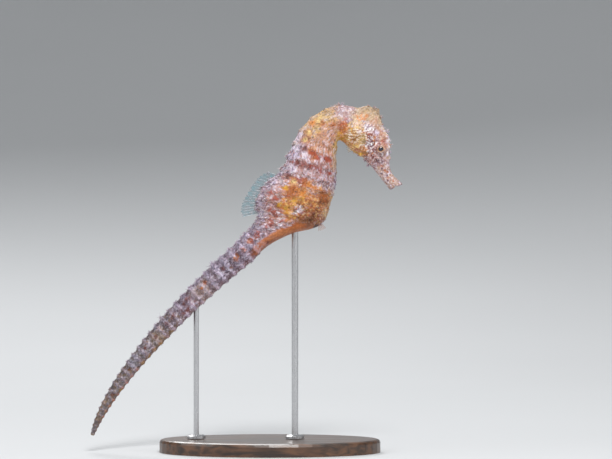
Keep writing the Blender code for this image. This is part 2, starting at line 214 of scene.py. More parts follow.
def tail_rows():
    """Sections of the free tail. It is walked from its root, and its pitch steepens to the tip."""
    share = np.linspace(0, 1, 400)
    pitch = PITCH_ROOT + PITCH_GAIN * share + PITCH_HOOK * share**HOOK_POWER
    step = TAIL_LENGTH / (len(share) - 1)
    x = TAIL_ROOT[0] - np.cumsum(np.cos(np.radians(pitch))) * step
    z = TAIL_ROOT[1] - np.cumsum(np.sin(np.radians(pitch))) * step
    rows = []
    for ring in range(POUCH + 1):
        from_tip = (ring / POUCH) ** RING_GROWTH
        place = [np.interp(1 - from_tip, share, column) for column in (x, z, pitch)]
        depth = math.sqrt(TAIL_DEPTH**2 * from_tip + TIP_DEPTH**2)
        rows.append([*place[:2], place[2] + 90, depth, depth / 2 * TAIL_WIDTH_SHARE])
    return rows


KNOTS = np.array([*range(POUCH + 1), *(row[0] for row in LANDMARKS)], float)
PLACES = np.array(tail_rows() + [[*row[1], *row[2:5]] for row in LANDMARKS])
SHAPES = [SECTIONS["tail"]] * (POUCH + 1) + [SECTIONS[row[5]] for row in LANDMARKS]
SHAPES = np.array(SHAPES, float)


def rails(t):
    """Dorsal and ventral points in the mid plane and the half widths, at ring positions t."""
    x, z, tilt, depth, half_width = spline(KNOTS, PLACES, t).T
    up = np.column_stack([np.cos(np.radians(tilt)), np.sin(np.radians(tilt))])
    middle = np.column_stack([x, z])
    dorsal = middle + up * depth[:, None] / 2
    ventral = middle - up * depth[:, None] / 2
    for ring, height, reach in RISES:
        dorsal = dorsal + up * (height * bell(t - ring, reach, RISE_POWER))[:, None]
    return dorsal, ventral, half_width


def outlines(t):
    """The outline's corners at each t as (lateral in mm, height as a share of half the depth)."""
    dorsal, ventral, half_width = rails(t)
    half = spline(KNOTS, SHAPES, t) * np.stack([half_width, np.ones(len(t))], 1)[:, None]
    depth = np.linalg.norm(dorsal - ventral, axis=1)[:, None] / 2
    crest = ring_crest(t) ** CREST_SHARPNESS
    share = np.tile(RIDGE_SHARE, (len(t), 1))
    share[on_pouch(t), POUCH_CORNER:] = 0
    inset = (np.interp(t, RELIEF_T, RELIEF_DEPTH) * (1 - crest))[:, None] * share
    length = np.hypot(half[..., 0], half[..., 1] * depth)
    half = half * (1 - inset / length)[..., None]
    return np.concatenate([half, half[:, -2:0:-1] * [-1, 1]], axis=1)


def body_points(t, u):
    """Points of the body's surface at ring positions t and outline positions u."""
    dorsal, ventral, _ = rails(t)
    corners = outlines(t)
    row = np.arange(len(t))
    i = np.floor(u).astype(int)
    part = (u - i)[:, None]
    before, a, b, after = (corners[row, (i + k) % CORNERS] for k in (-1, 0, 1, 2))
    bulge = (2 * a - before - b) * (1 - part) + (2 * b - a - after) * part
    lateral, up = (a + (b - a) * part + bulge * part * (1 - part) / 4).T
    flat = (dorsal + ventral) / 2 + (dorsal - ventral) / 2 * up[:, None]
    points = upright(flat[:, 0], flat[:, 1], lateral)
    for place, radius, height in SWELLINGS:
        side = np.clip(points[:, 1] / FLANK, -1, 1)
        points[:, 1] += side * height * bell(distance(points, place), radius)
    return points


def flank_point(ring, share):
    """The place (x, z) on the mid plane at a ring and a share of the depth from the back."""
    dorsal, ventral, _ = rails(np.array([float(ring)]))
    return dorsal[0] + (ventral[0] - dorsal[0]) * share


def even_rings(count):
    """Ring positions from the tail's tip to the lips, evenly spaced along the body."""
    t = np.linspace(SKIN_START, LIPS, 4000)
    middle = spline(KNOTS, PLACES, t)[:, :2]
    walked = np.concatenate([[0], np.cumsum(np.linalg.norm(np.diff(middle, axis=0), axis=1))])
    return np.interp(np.linspace(0, walked[-1], count), walked, t), walked[-1]


# Noise --------------------------------------------------------------------------------------------

SEED_STEP, FRACTAL = 17.3, (0.7, 2.2)


def rough(points, size, seed=0.0, octaves=2):
    """Seeded fractal noise from about -1 to 1 at each point; size is the width of a blotch."""
    q = points / size + seed * SEED_STEP
    return np.array([noise.fractal(Vector(p), *FRACTAL, octaves) for p in q])


# Markings -----------------------------------------------------------------------------------------

# Patches: colour, ring range, share range, strength, and whether it breaks up into speckles
PATCHES = [
    ("slate", (-2, 28), (-1, 2), 0.3, 0),
    # The two bark patches darken the tail toward its end: painted shade, as if less light reached it there
    ("bark", (-2, 11), (-1, 2), 0.65, 0),
    ("bark", (-2, 20), (-1, 2), 0.5, 0),
    ("olive", (3, 21), (-1, 2), 0.6, 1),
    ("slate", (12.8, 14.6), (0.0, 0.7), 0.5, 0),
    ("sand", (16.2, 18.0), (0.2, 1.2), 0.4, 0),
    ("sand", (-2, 0.9), (-1, 2), 0.5, 0),
    ("maroon", (18.2, 19.4), (0.2, 0.9), 0.4, 1),
    ("olive", (2, 19), (0.76, 1.2), 0.5, 1),
    ("rust", (21.4, 22.9), (0.3, 1.0), 0.4, 1),
    ("sand", (22.9, 24.8), (0.15, 1.2), 0.4, 0),
    ("frost", (24.6, 31.6), (-0.3, 0.3), 0.3, 0),
    ("frost", (25.4, 26.8), (0.0, 0.8), 0.3, 0),
    ("plum", (26.9, 28.3), (0.3, 1.0), 0.4, 0),
    ("frost", (28.6, 31.6), (0.0, 0.7), 0.4, 0),
    ("rose", (31, 34.4), (0.15, 0.6), 0.4, 0),
    ("frost", (32.0, 43.2), (-0.4, 0.3), 0.65, 0),
    ("rose", (33.0, 42.8), (-0.4, 0.3), 0.45, 1),
    ("salmon", (33.8, 39.4), (0.12, 0.75), 0.6, 0),
    ("rust", (29.5, 35.2), (0.6, 1.3), 1.0, 0),
    ("salmon", (31.0, 33.6), (0.62, 0.9), 0.45, 0),
    ("orange", (35.2, 39.0), (0.36, 0.98), 0.9, 0),
    ("yellow", (35.4, 39.2), (0.36, 0.9), 0.5, 1),
    ("rust", (35.2, 38.9), (0.62, 1.0), 0.75, 1),
    ("rust", (35.4, 37.2), (0.6, 0.96), 0.7, 0),
    ("umber", (34.8, 36.2), (0.6, 0.95), 0.85, 0),
    ("rust", (34.9, 37.2), (0.6, 0.95), 0.5, 1),
    ("orange", (38.4, 39.4), (0.26, 0.7), 0.75, 0),
    ("sand", (35.8, 39.2), (0.95, 1.2), 0.85, 0),
    ("rose", (39.4, 41.9), (0.2, 0.95), 0.6, 0),
    ("salmon", (41.6, 46.0), (0.3, 0.92), 0.85, 0),
    ("sand", (42.2, 46.2), (-0.3, 0.94), 0.5, 0),
    ("sand", (43.2, 46.0), (-0.3, 0.4), 0.6, 0),
    ("rose", (42.4, 45.8), (0.35, 0.9), 0.5, 0),
    ("red", (41.8, 45.6), (0.4, 0.85), 0.3, 1),
    ("sand", (41.0, 46.2), (0.91, 1.1), 0.7, 0),
    ("yellow", (42.5, 46.2), (0.92, 1.1), 0.5, 0),
    ("yellow", (43.4, 46.2), (-0.3, 0.5), 0.35, 1),
    ("frost", (41.8, 43.4), (-0.3, 0.2), 0.6, 1),
    ("rose", (45.4, 47.8), (-0.2, 0.36), 0.45, 0),
    ("sand", (47.4, 57.2), (-0.2, 0.3), 0.8, 0),
    ("olive", (48.6, 52.6), (-0.2, 0.16), 0.5, 1),
    ("bark", (47.6, 52.6), (-0.2, 0.3), 0.3, 1),
    ("orange", (47.6, 52.4), (0.16, 0.5), 0.4, 1),
    ("yellow", (46.6, 51.6), (0.5, 0.84), 0.8, 0),
    ("olive", (46.8, 51.8), (0.54, 0.84), 0.45, 0),
    ("olive", (46.8, 51.8), (0.54, 0.84), 0.6, 1),
    ("orange", (46.8, 51.2), (0.52, 0.88), 0.5, 0),
    ("yellow", (45.4, 47.0), (0.74, 1.1), 0.8, 0),
    ("rose", (50.8, 57.0), (0.12, 0.95), 0.6, 0),
    ("rose", (53.4, 62), (-0.2, 1.1), 0.4, 0),
    ("orange", (46.0, 53.0), (0.76, 1.1), 0.75, 0),
    ("rust", (46.6, 54.0), (0.78, 1.1), 0.5, 1),
    ("yellow", (46.0, 51.8), (0.76, 1.1), 0.6, 1),
    ("olive", (46.6, 51.0), (0.86, 1.2), 0.4, 1),
    ("sand", (58, 62), (-0.2, 1.2), 0.4, 0),
    ("frost", (55.6, 62), (-0.2, 1.2), 0.35, 1),
    ("frost", (52.4, 56.4), (-0.2, 0.14), 0.75, 1),
    ("red", (52.8, 55.2), (0.15, 0.22), 0.6, 1),
]
PATCH_EDGE, SHARE_EDGE = 0.6, 0.05

# Spots: colour, radius, whether speckled, and places as (ring, share)
SPOTS = [
    ("rust", 1.0, 0, [(30.3, 0.35), (31.3, 0.37), (29, 0.4), (28.3, 0.42), (27.9, 0.5)]),
    ("red", 0.8, 0, [(37.8, 0.15), (36.2, 0.2), (34.8, 0.22), (33.2, 0.3), (32, 0.3), (30.5, 0.42)]),
    ("red", 1.0, 0, [(36.0, 0.27), (33.9, 0.33), (31.5, 0.36), (37.4, 0.24), (34.9, 0.4)]),
    ("maroon", 0.8, 0, [(31.2, 0.85), (26.6, 0.42), (22, 0.3), (20, 0.4), (18.9, 0.4), (15.5, 0.4)]),
    ("maroon", 0.9, 0, [(21.6, 0.35), (20.9, 0.6), (21.4, 0.7)]),
    ("umber", 0.7, 0, [(27.2, 0.62), (19.7, 0.5), (17.2, 0.45), (12.5, 0.5), (8.6, 0.5)]),
    ("olive", 0.8, 0, [(18.6, 0.92), (17, 0.92), (16, 0.92), (15, 0.92), (14, 0.92), (9.7, 0.92)]),
    ("rust", 0.7, 0, [(23.8, 0.42), (24.4, 0.35)]),
    ("orange", 0.4, 0, [(23.9, 0.4), (27.9, 0.42)]),
    ("rust", 1.7, 0, [(42.5, 0.22)]),
    ("rust", 1.3, 0, [(43.1, 0.2), (39.25, 0.33), (36.9, 0.33), (44.3, 0.3), (45.2, 0.5)]),
    ("orange", 1.3, 0, [(43.1, 0.2), (39.2, 0.33), (44.2, 0.2), (43.8, 0.13)]),
    ("sand", 1.1, 0, [(42.5, 0.22), (43.1, 0.2), (39.2, 0.33), (44.2, 0.2), (44.5, 0.14)]),
    ("cream", 0.6, 0, [(42.5, 0.22), (43.15, 0.2), (39.2, 0.33), (44.2, 0.2), (44.5, 0.14)]),
    ("maroon", 1.1, 0, [(41.85, 0.27), (39.6, 0.18), (40.75, 0.22)]),
    ("rust", 1.2, 0, [(41.85, 0.42), (41.65, 0.5), (39.2, 0.5), (39.5, 0.47)]),
    ("red", 0.7, 0, [(41.75, 0.42), (41.7, 0.5), (41.6, 0.58), (41.75, 0.78), (41.65, 0.84)]),
    ("orange", 1.1, 0, [(38.5, 0.31), (38.4, 0.47), (38.4, 0.54), (39.2, 0.58), (39.1, 0.68)]),
    ("umber", 0.6, 0, [(37.3, 0.58), (36.6, 0.55), (37.5, 0.71), (37.1, 0.63), (38.2, 0.94)]),
    ("yellow", 0.8, 0, [(36.9, 0.33), (38.6, 0.3), (37.6, 0.5), (36.6, 0.42)]),
    ("red", 0.5, 0, [(37.9, 0.4), (37.2, 0.44), (36.2, 0.36), (35.5, 0.3), (35.2, 0.44), (38.7, 0.4)]),
    ("rust", 2.3, 0, [(38.5, 0.87), (38.3, 0.42)]),
    ("umber", 1.4, 1, [(35.6, 0.78), (36.2, 0.82), (37.0, 0.84), (38.0, 0.88)]),
    ("frost", 1.0, 1, [(36.6, 0.62), (36.9, 0.56)]),
    ("white", 0.45, 0, [(36.5, 0.6), (36.8, 0.64), (36.9, 0.56), (36.3, 0.56), (37.1, 0.61)]),
    ("ink", 0.7, 0, [(35.1, 0.95), (34.7, 0.99)]),
    # Head, from the nape to the lips
    ("rust", 1.8, 0, [(46.6, 0.56), (47.1, 0.66)]),
    ("red", 0.6, 0, [(46.9, 0.38), (46.5, 0.55), (46.9, 0.48)]),
    ("orange", 0.9, 1, [(46.6, 0.5), (47.3, 0.6), (46.9, 0.7)]),
    ("sand", 2.0, 0, [(48.5, 0.38), (48.9, 0.47)]),
    ("cream", 1.8, 1, [(48.5, 0.38), (48.9, 0.47)]),
    ("rose", 1.2, 1, [(48.8, 0.36), (49.4, 0.42), (48.2, 0.42)]),
    ("orange", 1.5, 1, [(48.9, 0.28), (49.6, 0.3)]),
    ("yellow", 1.0, 1, [(47.8, 0.45), (47.9, 0.55), (49.4, 0.52)]),
    ("orange", 0.8, 1, [(48.9, 0.24), (49.5, 0.22), (51, 0.27), (50.4, 0.34), (48.2, 0.22)]),
    ("white", 1.4, 1, [(50.2, 0.4), (51.3, 0.34), (50.8, 0.44)]),
    ("frost", 0.9, 0, [(52.3, 0.28)]),
    ("olive", 2.0, 1, [(47.9, 0.72), (49.4, 0.68), (50.6, 0.7)]),
    ("yellow", 1.5, 1, [(50.4, 0.7), (50.6, 0.8), (47.8, 0.82), (49.0, 0.58)]),
    ("maroon", 1.8, 1, [(51.6, 0.58), (52.4, 0.68), (53.2, 0.6), (50.4, 0.56)]),
    ("maroon", 1.3, 1, [(52.2, 0.56), (51.0, 0.64), (53.4, 0.7)]),
    ("plum", 0.7, 0, [(52.6, 0.6), (51.7, 0.64)]),
    ("red", 0.6, 0, [(49.2, 0.55), (49.6, 0.56), (51.2, 0.5), (53.6, 0.24)]),
    ("orange", 0.45, 0, [(51.6, 0.5), (52.3, 0.42), (53.0, 0.5), (51.0, 0.72), (52.0, 0.78), (53.5, 0.7)]),
    ("white", 1.3, 1, [(51.2, 0.78), (52.6, 0.74), (50.4, 0.84), (51.8, 0.72)]),
    ("white", 0.8, 1, [(52.3, 0.8), (54.6, 0.5), (55.4, 0.4), (54.2, 0.62)]),
    ("orange", 0.7, 1, [(52.6, 0.48), (52.9, 0.72)]),
    ("yellow", 1.4, 1, [(50.6, 0.94), (49.4, 0.9), (51.8, 0.94)]),
    ("maroon", 0.8, 1, [(51.4, 0.9), (52.2, 0.94), (53.0, 0.9)]),
    ("white", 0.7, 1, [(53.2, 0.06), (54.2, 0.04), (55.0, 0.06), (55.9, 0.08)]),
    ("maroon", 1.5, 1, [(53.6, 0.76), (54.8, 0.72), (56.0, 0.6)]),
    ("plum", 0.5, 0, [(56.8, 0.6), (57.3, 0.4), (58.2, 0.55), (59.5, 0.45), (60.4, 0.66), (58.9, 0.7)]),
    ("rust", 0.5, 0, [(57.8, 0.5), (59.0, 0.3), (60.0, 0.55), (58.6, 0.4), (60.9, 0.4)]),
    ("frost", 0.6, 1, [(61.3, 0.2), (61.6, 0.85), (56.4, 0.1), (58.0, 0.05), (59.4, 0.2)]),
]
# Spots have uneven edges: a shift in mm, and one as a share of the radius
SPOT_SOFTNESS, SPOT_STRENGTH, SPOT_JITTER = 0.5, 0.85, (0.25, 0.35)

# Clusters of pale flecks: radius and places
FROST_CLUSTERS = [
    (2.0, [(30.9, 0.66), (26.8, 0.25), (26.2, 0.6), (22.6, 0.75), (33.0, 0.48), (29.6, 0.3)]),
    (1.3, [(36.8, 0.64), (36.4, 0.56), (41.6, 0.13), (40.1, 0.2), (39.0, 0.7), (24.6, 0.4)]),
    (1.8, [(18.6, 0.15), (16.5, 0.6), (13.2, 0.3), (35.2, 0.36), (41.3, 0.33), (34.2, 0.45)]),
]

# Red-brown lines across the trunk: ring, share range, strength
BANDS = [
    (41.75, (0.36, 0.9), 0.8),
    (40.75, (0.12, 0.9), 0.95),
    (39.55, (0.08, 0.5), 0.8),
    (38.0, (0.05, 0.4), 0.4),
    (37.0, (0.05, 0.4), 0.4),
]
BAND_REACH, BAND_EDGE, BAND_CALM = 0.24, 0.04, 0.75
# Few flecks lie over these colours, and few papillae pale or darken over the trunk's plain spots
CALM_COLOURS = ("orange", "rust", "umber", "yellow", "sand")
SPOTS_CALM = (POUCH + 2, POUCH + 5)
# How strongly painted shade darkens the hollows between the tail's rings, and a painted highlight lightens
# their crests
RING_PAINTED_SHADING = 0.4
# Layers of noise: width of a blotch in mm, seed and, for some, octaves
CRINKLE, RING_SHIFT, DEPTH_SHIFT, BLOTCH = (1.2, 20), (3.4, 1, 3), (2.6, 2, 3), (3.0, 3, 3)
SPECKLE, SPECKLE_CLOUD, JITTER_X, JITTER_Z = (0.9, 16), (2.0, 17), (1.5, 4), (1.5, 5)
FINE, FINE_CLOUD, STREAK, STREAK_CLOUD = (0.7, 6), (1.5, 7), (0.6, 18), (1.5, 19)
FRECKLES, DUST, CHEEK_STREAKS = (0.55, 23), (0.6, 21), (0.55, 22)
# Rings where parts of the body start and end, softly
CHEST = ((39, 41), (NAPE - 1, NAPE + 0.5))
SPECKLED_FLANK = ((VENT, VENT + 0.8), (39.2, 40.4))
TAIL_ENDS, HEAD_STARTS = (28, 34), (NAPE, NAPE + 1)
BARE_POUCH = ((POUCH + 1, POUCH + 2), (VENT, VENT + 0.8))
# The dusky mask round the eye, and fine lengthwise streaks on the cheek
MASK_MIDDLE, MASK_RADIUS = (51.8, 0.62), 3.4
CHEEK_MIDDLE, CHEEK_REACH, CHEEK_STRETCH = (49.3, 0.64), (6.4, 3.8), (0.25, 1.0, 1.0)


class Paint:
    """Colours in linear light at many points, laid over one another."""

    def __init__(self, name, count):
        self.colour = np.tile(linear(name), (count, 1))

    def __call__(self, name, cover):
        self.colour += (linear(name) - self.colour) * np.clip(cover, 0, 1)[:, None]

    def above(self, name, value, low, high, cover=1.0):
        """Paints where the value rises from low to high."""
        self(name, soft_step(value, low, high) * cover)


def markings(points, t, share, local):
    """The colour of the skin at each point in linear light, and how free it is of pale flecks."""
    crinkle = rough(points, *CRINKLE)
    ring = t + rough(points, *RING_SHIFT) * 0.8 + crinkle * 0.25
    depth = share + rough(points, *DEPTH_SHIFT) * 0.07 + crinkle * 0.03
    blotch = rough(points, *BLOTCH)
    speckle = rough(points, *SPECKLE) + rough(points, *SPECKLE_CLOUD) * 0.5
    speckle = soft_step(speckle, -0.1, 0.2)
    paint = Paint("mauve", len(points))
    paint.above("frost", -blotch, 0.0, 0.6, 0.35)
    warm = np.zeros(len(points))
    for name, rings, shares, strength, speckled in PATCHES:
        inside = within(ring, rings, PATCH_EDGE) * within(depth, shares, SHARE_EDGE)
        inside *= strength * (speckle if speckled else 1)
        paint(name, inside)
        if name in CALM_COLOURS:
            warm = np.maximum(warm, inside)
    for at, shares, strength in BANDS:
        cover = bell(t + blotch * 0.15 - at, BAND_REACH) * within(depth, shares, BAND_EDGE)
        cover *= strength * (0.6 + 0.4 * speckle)
        paint("maroon", cover)
        paint.above("red", blotch, -0.3, 0.2, cover * 0.8)
        warm = np.maximum(warm, cover * BAND_CALM)

    clusters = np.zeros(len(points))
    for radius, places in FROST_CLUSTERS:
        for place in places:
            clusters = np.maximum(clusters, bell(distance(points, flank_point(*place)), radius))
    calm = fleck(points, t, share, local, clusters, warm, paint)
    jitter = upright(rough(points, *JITTER_X), rough(points, *JITTER_Z))
    spots_calm = soft_step(t, *SPOTS_CALM) * (1 - soft_step(t, NAPE, NAPE + 1.5))
    for name, radius, speckled, places in SPOTS:
        moved = points + jitter * (SPOT_JITTER[0] + SPOT_JITTER[1] * radius)
        for place in places:
            away = distance(moved, flank_point(*place)) / radius
            cover = 1 - soft_step(away, 1 - SPOT_SOFTNESS, 1 + SPOT_SOFTNESS)
            paint(name, cover * SPOT_STRENGTH * (speckle if speckled else 1))
            if not speckled:
                calm = np.maximum(calm, cover * SPOT_STRENGTH * spots_calm)
    dust_head(points, t, calm, paint)
    return paint.colour, calm


def dust_head(points, t, calm, paint):
    """Fine dark and pale dust on the head, thickest round the eye, and streaks on the cheek."""
    dust = rough(points, *DUST)
    near_eye = bell(distance(points, flank_point(*MASK_MIDDLE)), MASK_RADIUS)
    amount = soft_step(t, NAPE, NAPE + 1.5) * (0.5 + 0.5 * near_eye) * (1 - 0.7 * calm)
    dusky = soft_step(-dust, 0.2 - 0.15 * near_eye, 0.42 - 0.15 * near_eye) * amount
    paint("plum", dusky)
    paint("maroon", dusky * 0.5)
    paint.above("white", dust, 0.22, 0.42, amount * 0.9)
    streaks = rough(points * CHEEK_STRETCH, *CHEEK_STREAKS)
    from_cheek = (points[:, [0, 2]] - flank_point(*CHEEK_MIDDLE)) / CHEEK_REACH
    on_cheek = 1 - soft_step(np.linalg.norm(from_cheek, axis=1), 0.6, 1.0)
    paint.above("rust", -streaks, 0.04, 0.2, on_cheek * 0.5)
    paint.above("maroon", -streaks, 0.14, 0.26, on_cheek * 0.8)
    paint.above("white", streaks, 0.12, 0.26, on_cheek * 0.75)


def fleck(points, t, share, local, clusters, warm, paint):
    """Fine light and dark flecks: long ones on the chest, few where a warm patch lies, and none on the
    pouch; painted shade between the tail's rings and on its underside, and a painted highlight on the
    rings' crests. Says how free of flecks each point is."""
    fine = rough(points, *FINE) + rough(points, *FINE_CLOUD) * 0.5
    streak = rough(local, *STREAK) + rough(local, *STREAK_CLOUD) * 0.4
    chest = window(t, *CHEST)
    tail = 1 - soft_step(t, *TAIL_ENDS)
    value = fine * (1 - chest) + streak * chest + clusters * (0.45 - 0.25 * tail)
    smooth = window(t, *BARE_POUCH) * soft_step(share, 0.58, 0.66)
    calm = np.maximum(warm * 0.95 * (1 - clusters), smooth)
    amount = 0.7 - 0.2 * tail - 0.5 * soft_step(t, *HEAD_STARTS) - 0.15 * chest
    amount = amount * (1 - calm)
    # Pale flecks thin out toward the tail's end, darkening it there as painted shade
    fading = soft_step(t, 0, 24)
    paint.above("frost", value, 0.1, 0.28, amount * (0.3 + 0.7 * fading))
    paint.above("white", value, 0.36, 0.5, amount * fading * 0.8)
    dark = amount * (0.75 + 0.2 * tail - 0.5 * chest * soft_step(t, 41, 43))
    paint.above("plum", -value, 0.14, 0.3, dark * (1 - 0.6 * chest))
    paint.above("maroon", -value, 0.14, 0.3, dark * chest)

    crest = ring_crest(t)
    ringed = 1 - soft_step(t, 29, 33)
    toward_root = soft_step(t, 16, 24)
    # Painted shade in the hollows between the rings: bark toward the tail's end, plum toward its root
    paint("bark", (1 - crest) ** 2 * (1 - toward_root) * 0.5)
    paint("plum", (1 - crest) ** 2 * ringed * toward_root * RING_PAINTED_SHADING)
    # Painted shade: the tail's underside is darkened with umber
    paint.above("umber", share, 0.7, 1.0, ringed * 0.5)
    # Painted highlight on the raised crests of the rings
    paint("frost", crest**3 * ringed * RING_PAINTED_SHADING * fading)
    scallop = crest**2 * window(t, (3, 5), (17, 20)) * (0.5 + fine)
    paint.above("rust", share, 0.68, 0.86, scallop * 0.8)
    flank = window(t, *SPECKLED_FLANK) * warm
    dots = rough(points, *FRECKLES)
    paint.above("cream", dots, 0.2, 0.34, flank * 0.6)
    paint.above("red", -dots, 0.22, 0.36, flank * 0.5)
    paint.above("umber", fine, 0.0, 0.7, smooth * 0.35)
    paint.above("salmon", -fine, 0.1, 0.7, smooth * 0.4)
    return calm


# Relief of the skin -------------------------------------------------------------------------------

RIDGES, TOP_RIDGES, LOW_RIDGES = [1, 3, 5, 9, 11, 13], [1, 13], [5, 9]
TUBERCLE_REACH, TUBERCLE_HEIGHT = 0.7, 0.2
TUBERCLE_RINGS, TUBERCLE_SIZE = [0, POUCH, VENT, NAPE], [0.35, 0.8, 1.1, 1.0]
# Rings whose tubercles on the back are larger, and by how much
BIG_TUBERCLES = {41: 3.0, 40: 2.5, 38: 1.6, 26: 3.5, 19: 3.5, 35: 1.5, 29: 1.8}
# The lower tubercles fade on the neck: rings and share of their height
NECK_FADE = ([41, 43], [1.0, 0.2])


def tubercles(points, t, u):
    """A knob where each ring crosses each ridge; some rings have larger ones on the back."""
    ring = np.clip(np.round(t), 1, NAPE - 1)
    ridge = np.array(RIDGES)[np.abs(u[:, None] - np.array(RIDGES)).argmin(1)]
    away = np.linalg.norm(points - body_points(ring, ridge.astype(float)), axis=1)
    on_top = np.isin(ridge, TOP_RIDGES)
    big = np.where(on_top, np.array([BIG_TUBERCLES.get(int(r), 1.0) for r in ring]), 1.0)
    reach = TUBERCLE_REACH * np.interp(t, TUBERCLE_RINGS, TUBERCLE_SIZE)
    smooth = on_pouch(t) & np.isin(ridge, LOW_RIDGES)
    height = TUBERCLE_HEIGHT * reach / TUBERCLE_REACH * big * ~smooth
    height *= np.where(on_top, 1.0, np.interp(t, *NECK_FADE))
    return height * bell(away, reach) * (t < NAPE + 0.5)


# Spines and knobs of the head: root, radius, height
HEAD_SPINES = [
    ((44.0, 2.2, 119.5), 0.9, 1.1),
    ((45.2, 0.0, 111.8), 0.8, 0.9),
    ((38.5, 1.6, 109.5), 0.8, 0.9),
    ((34.5, 2.6, 113.0), 0.9, 0.9),
    ((36.0, 1.2, 130.3), 0.8, 0.8),
    ((39.0, 1.7, 130.5), 0.8, 0.8),
    ((41.0, 0.0, 130.0), 0.8, 0.9),
    ((43.4, 0.8, 125.8), 0.6, 0.7),
    ((45.6, 0.6, 116.6), 0.6, 0.5),
    ((45.9, 0.8, 114.6), 0.5, 0.8),
    ((45.8, 0.7, 113.2), 0.45, 0.7),
    ((44.6, 0.7, 118.2), 0.45, 0.7),
]
SPINE_POWER = 1.6
# How far out the side of the head counts as its flank, in mm from the mid plane
HEAD_FLANK = (1.6, 2.8)
ORBIT_REACH, ORBIT_DEPTH, ORBIT_WIDTH = 2.9, 0.5, 0.5
# The brow stands off the orbit by a groove: its rings, and share of the depth, width and height
BROW_RINGS = ((52.2, 53.0), (55.0, 55.8))
BROW_FOLDS = [(0.10, 0.07, 0.3), (0.22, 0.04, -0.4)]
GILL_MIDDLE, GILL_RADIUS, GILL_FOLDS, GILL_FOLD_HEIGHT = (36.6, 118.6), 4.6, 30, 0.09
# The gill cover's rim and the groove behind it: place, width, height and how far forward they
# reach, all but the height as shares of its radius
GILL_EDGES = [(1.0, 0.09, 0.22, 0.35), (1.14, 0.07, -0.35, 0.2)]
NOSTRILS, NOSTRIL_RADIUS = [(45.6, 1.5, 110.2), (45.3, 1.7, 111.2)], 0.28
NOSTRIL_DEPTH, NOSTRIL_RIM, NOSTRIL_RIM_AT = 0.3, 0.12, 1.6
# The skin runs up over each eyeball to a round opening
TURRET_RADIUS, LID_RADIUS, LID_DEPTH, TURRET_FOLDS, FOLD_HEIGHT = 2.4, 1.2, 0.7, 14, 0.05


def turret(points):
    """Pulls the skin out over the eyeballs, with fine folds round the opening of the lids."""
    away = distance(points, EYE)
    around = np.arctan2(points[:, 2] - EYE[1], points[:, 0] - EYE[0])
    side = np.abs(points[:, 1])
    dome = EYE_SIDE + np.sqrt(np.clip(TURRET_RADIUS**2 - away**2, 0, None))
    folds = FOLD_HEIGHT * np.cos(around * TURRET_FOLDS)
    dome += folds * soft_step(away, LID_RADIUS, LID_RADIUS + 0.4)
    near = (away < TURRET_RADIUS) & (side > FLANK * 0.6)
    opening = 1 - soft_step(away, LID_RADIUS - 0.2, LID_RADIUS)
    raised = np.maximum(side, dome) - LID_DEPTH * opening
    points[:, 1] = np.where(near, np.sign(points[:, 1]) * raised, points[:, 1])
    return points


# At the lips the mouth cuts back into each side of the snout
NOTCH_SHARE, NOTCH_REACH, NOTCH_DEPTH, NOTCH_FROM = 0.55, 0.16, 0.9, 60.4


def lip_notch(t, share):
    """How far the rim of the lips is drawn back along the snout."""
    dorsal, ventral, _ = rails(np.array([SNOUT, LIPS]))
    middle = (dorsal + ventral) / 2
    x, z = unit(middle[1] - middle[0])
    cut = NOTCH_DEPTH * soft_step(t, NOTCH_FROM, LIPS) * bell(share - NOTCH_SHARE, NOTCH_REACH)
    return cut[:, None] * np.array([x, 0, z])


def head_relief(points):
    """Spines, the gill cover's rays, the ring round the eye and the nostrils."""
    lift = np.zeros(len(points))
    side = np.abs(points[:, 1])
    mirrored = upright(points[:, 0], points[:, 2], side)
    for root, radius, height in HEAD_SPINES:
        away = np.linalg.norm(mirrored - np.array(root), axis=1)
        lift += height * bell(away, radius, SPINE_POWER)
    on_flank = soft_step(side, *HEAD_FLANK)
    dx, dz = points[:, 0] - GILL_MIDDLE[0], points[:, 2] - GILL_MIDDLE[1]
    away = np.hypot(dx, dz) / GILL_RADIUS
    hub = np.arctan2(dz, dx - GILL_RADIUS)
    cover = (1 - soft_step(away, 0.85, 1.0)) * on_flank
    lift += cover * GILL_FOLD_HEIGHT * np.cos(hub * GILL_FOLDS)
    for place, width, height, front in GILL_EDGES:
        lift += height * bell(away - place, width) * on_flank * (dx < GILL_RADIUS * front)
    lift -= ORBIT_DEPTH * bell(distance(points, EYE) - ORBIT_REACH, ORBIT_WIDTH) * on_flank
    for place in NOSTRILS:
        away = np.linalg.norm(mirrored - np.array(place), axis=1) / NOSTRIL_RADIUS
        lift -= NOSTRIL_DEPTH * bell(away) - NOSTRIL_RIM * bell(away - NOSTRIL_RIM_AT)
    return lift


CREST_RINGS, CREST_LIFT, CREST_WIDTH = [0, 20, VENT, 41, 43], [0.03, 0.1, 0.08, 0.05, 0.0], 0.1
GRAIN_RINGS, GRAIN_LIFT, POUCH_GRAIN = [0, 10, POUCH, 60], [0.03, 0.06, 0.1, 0.06], 0.35
GRAIN, GRAIN_CLOUD, POUCH_CORNERS = (0.9, 8), (1.9, 9), (4.2, 9.8)


def relief(points, t, u, share):
    """How far the skin stands out of its plain form at each point."""
    lift = tubercles(points, t, u)
    plain = on_pouch(t) & (u > POUCH_CORNERS[0]) & (u < POUCH_CORNERS[1])
    body = (t < NAPE + 0.4) & ~plain
    lift += np.interp(t, CREST_RINGS, CREST_LIFT) * bell(t - np.round(t), CREST_WIDTH) * body
    grain = np.interp(t, GRAIN_RINGS, GRAIN_LIFT) * np.where(plain, POUCH_GRAIN, 1)
    lift += grain * (rough(points, *GRAIN) + 0.8 * rough(points, *GRAIN_CLOUD))
    lift += head_relief(points)
    for place, width, height in BROW_FOLDS:
        lift += height * window(t, *BROW_RINGS) * bell(share - place, width)
    return lift


# Meshes -------------------------------------------------------------------------------------------


def add_to_scene(name, data):
    made = bpy.data.objects.new(name, data)
    bpy.context.scene.collection.objects.link(made)
    return made


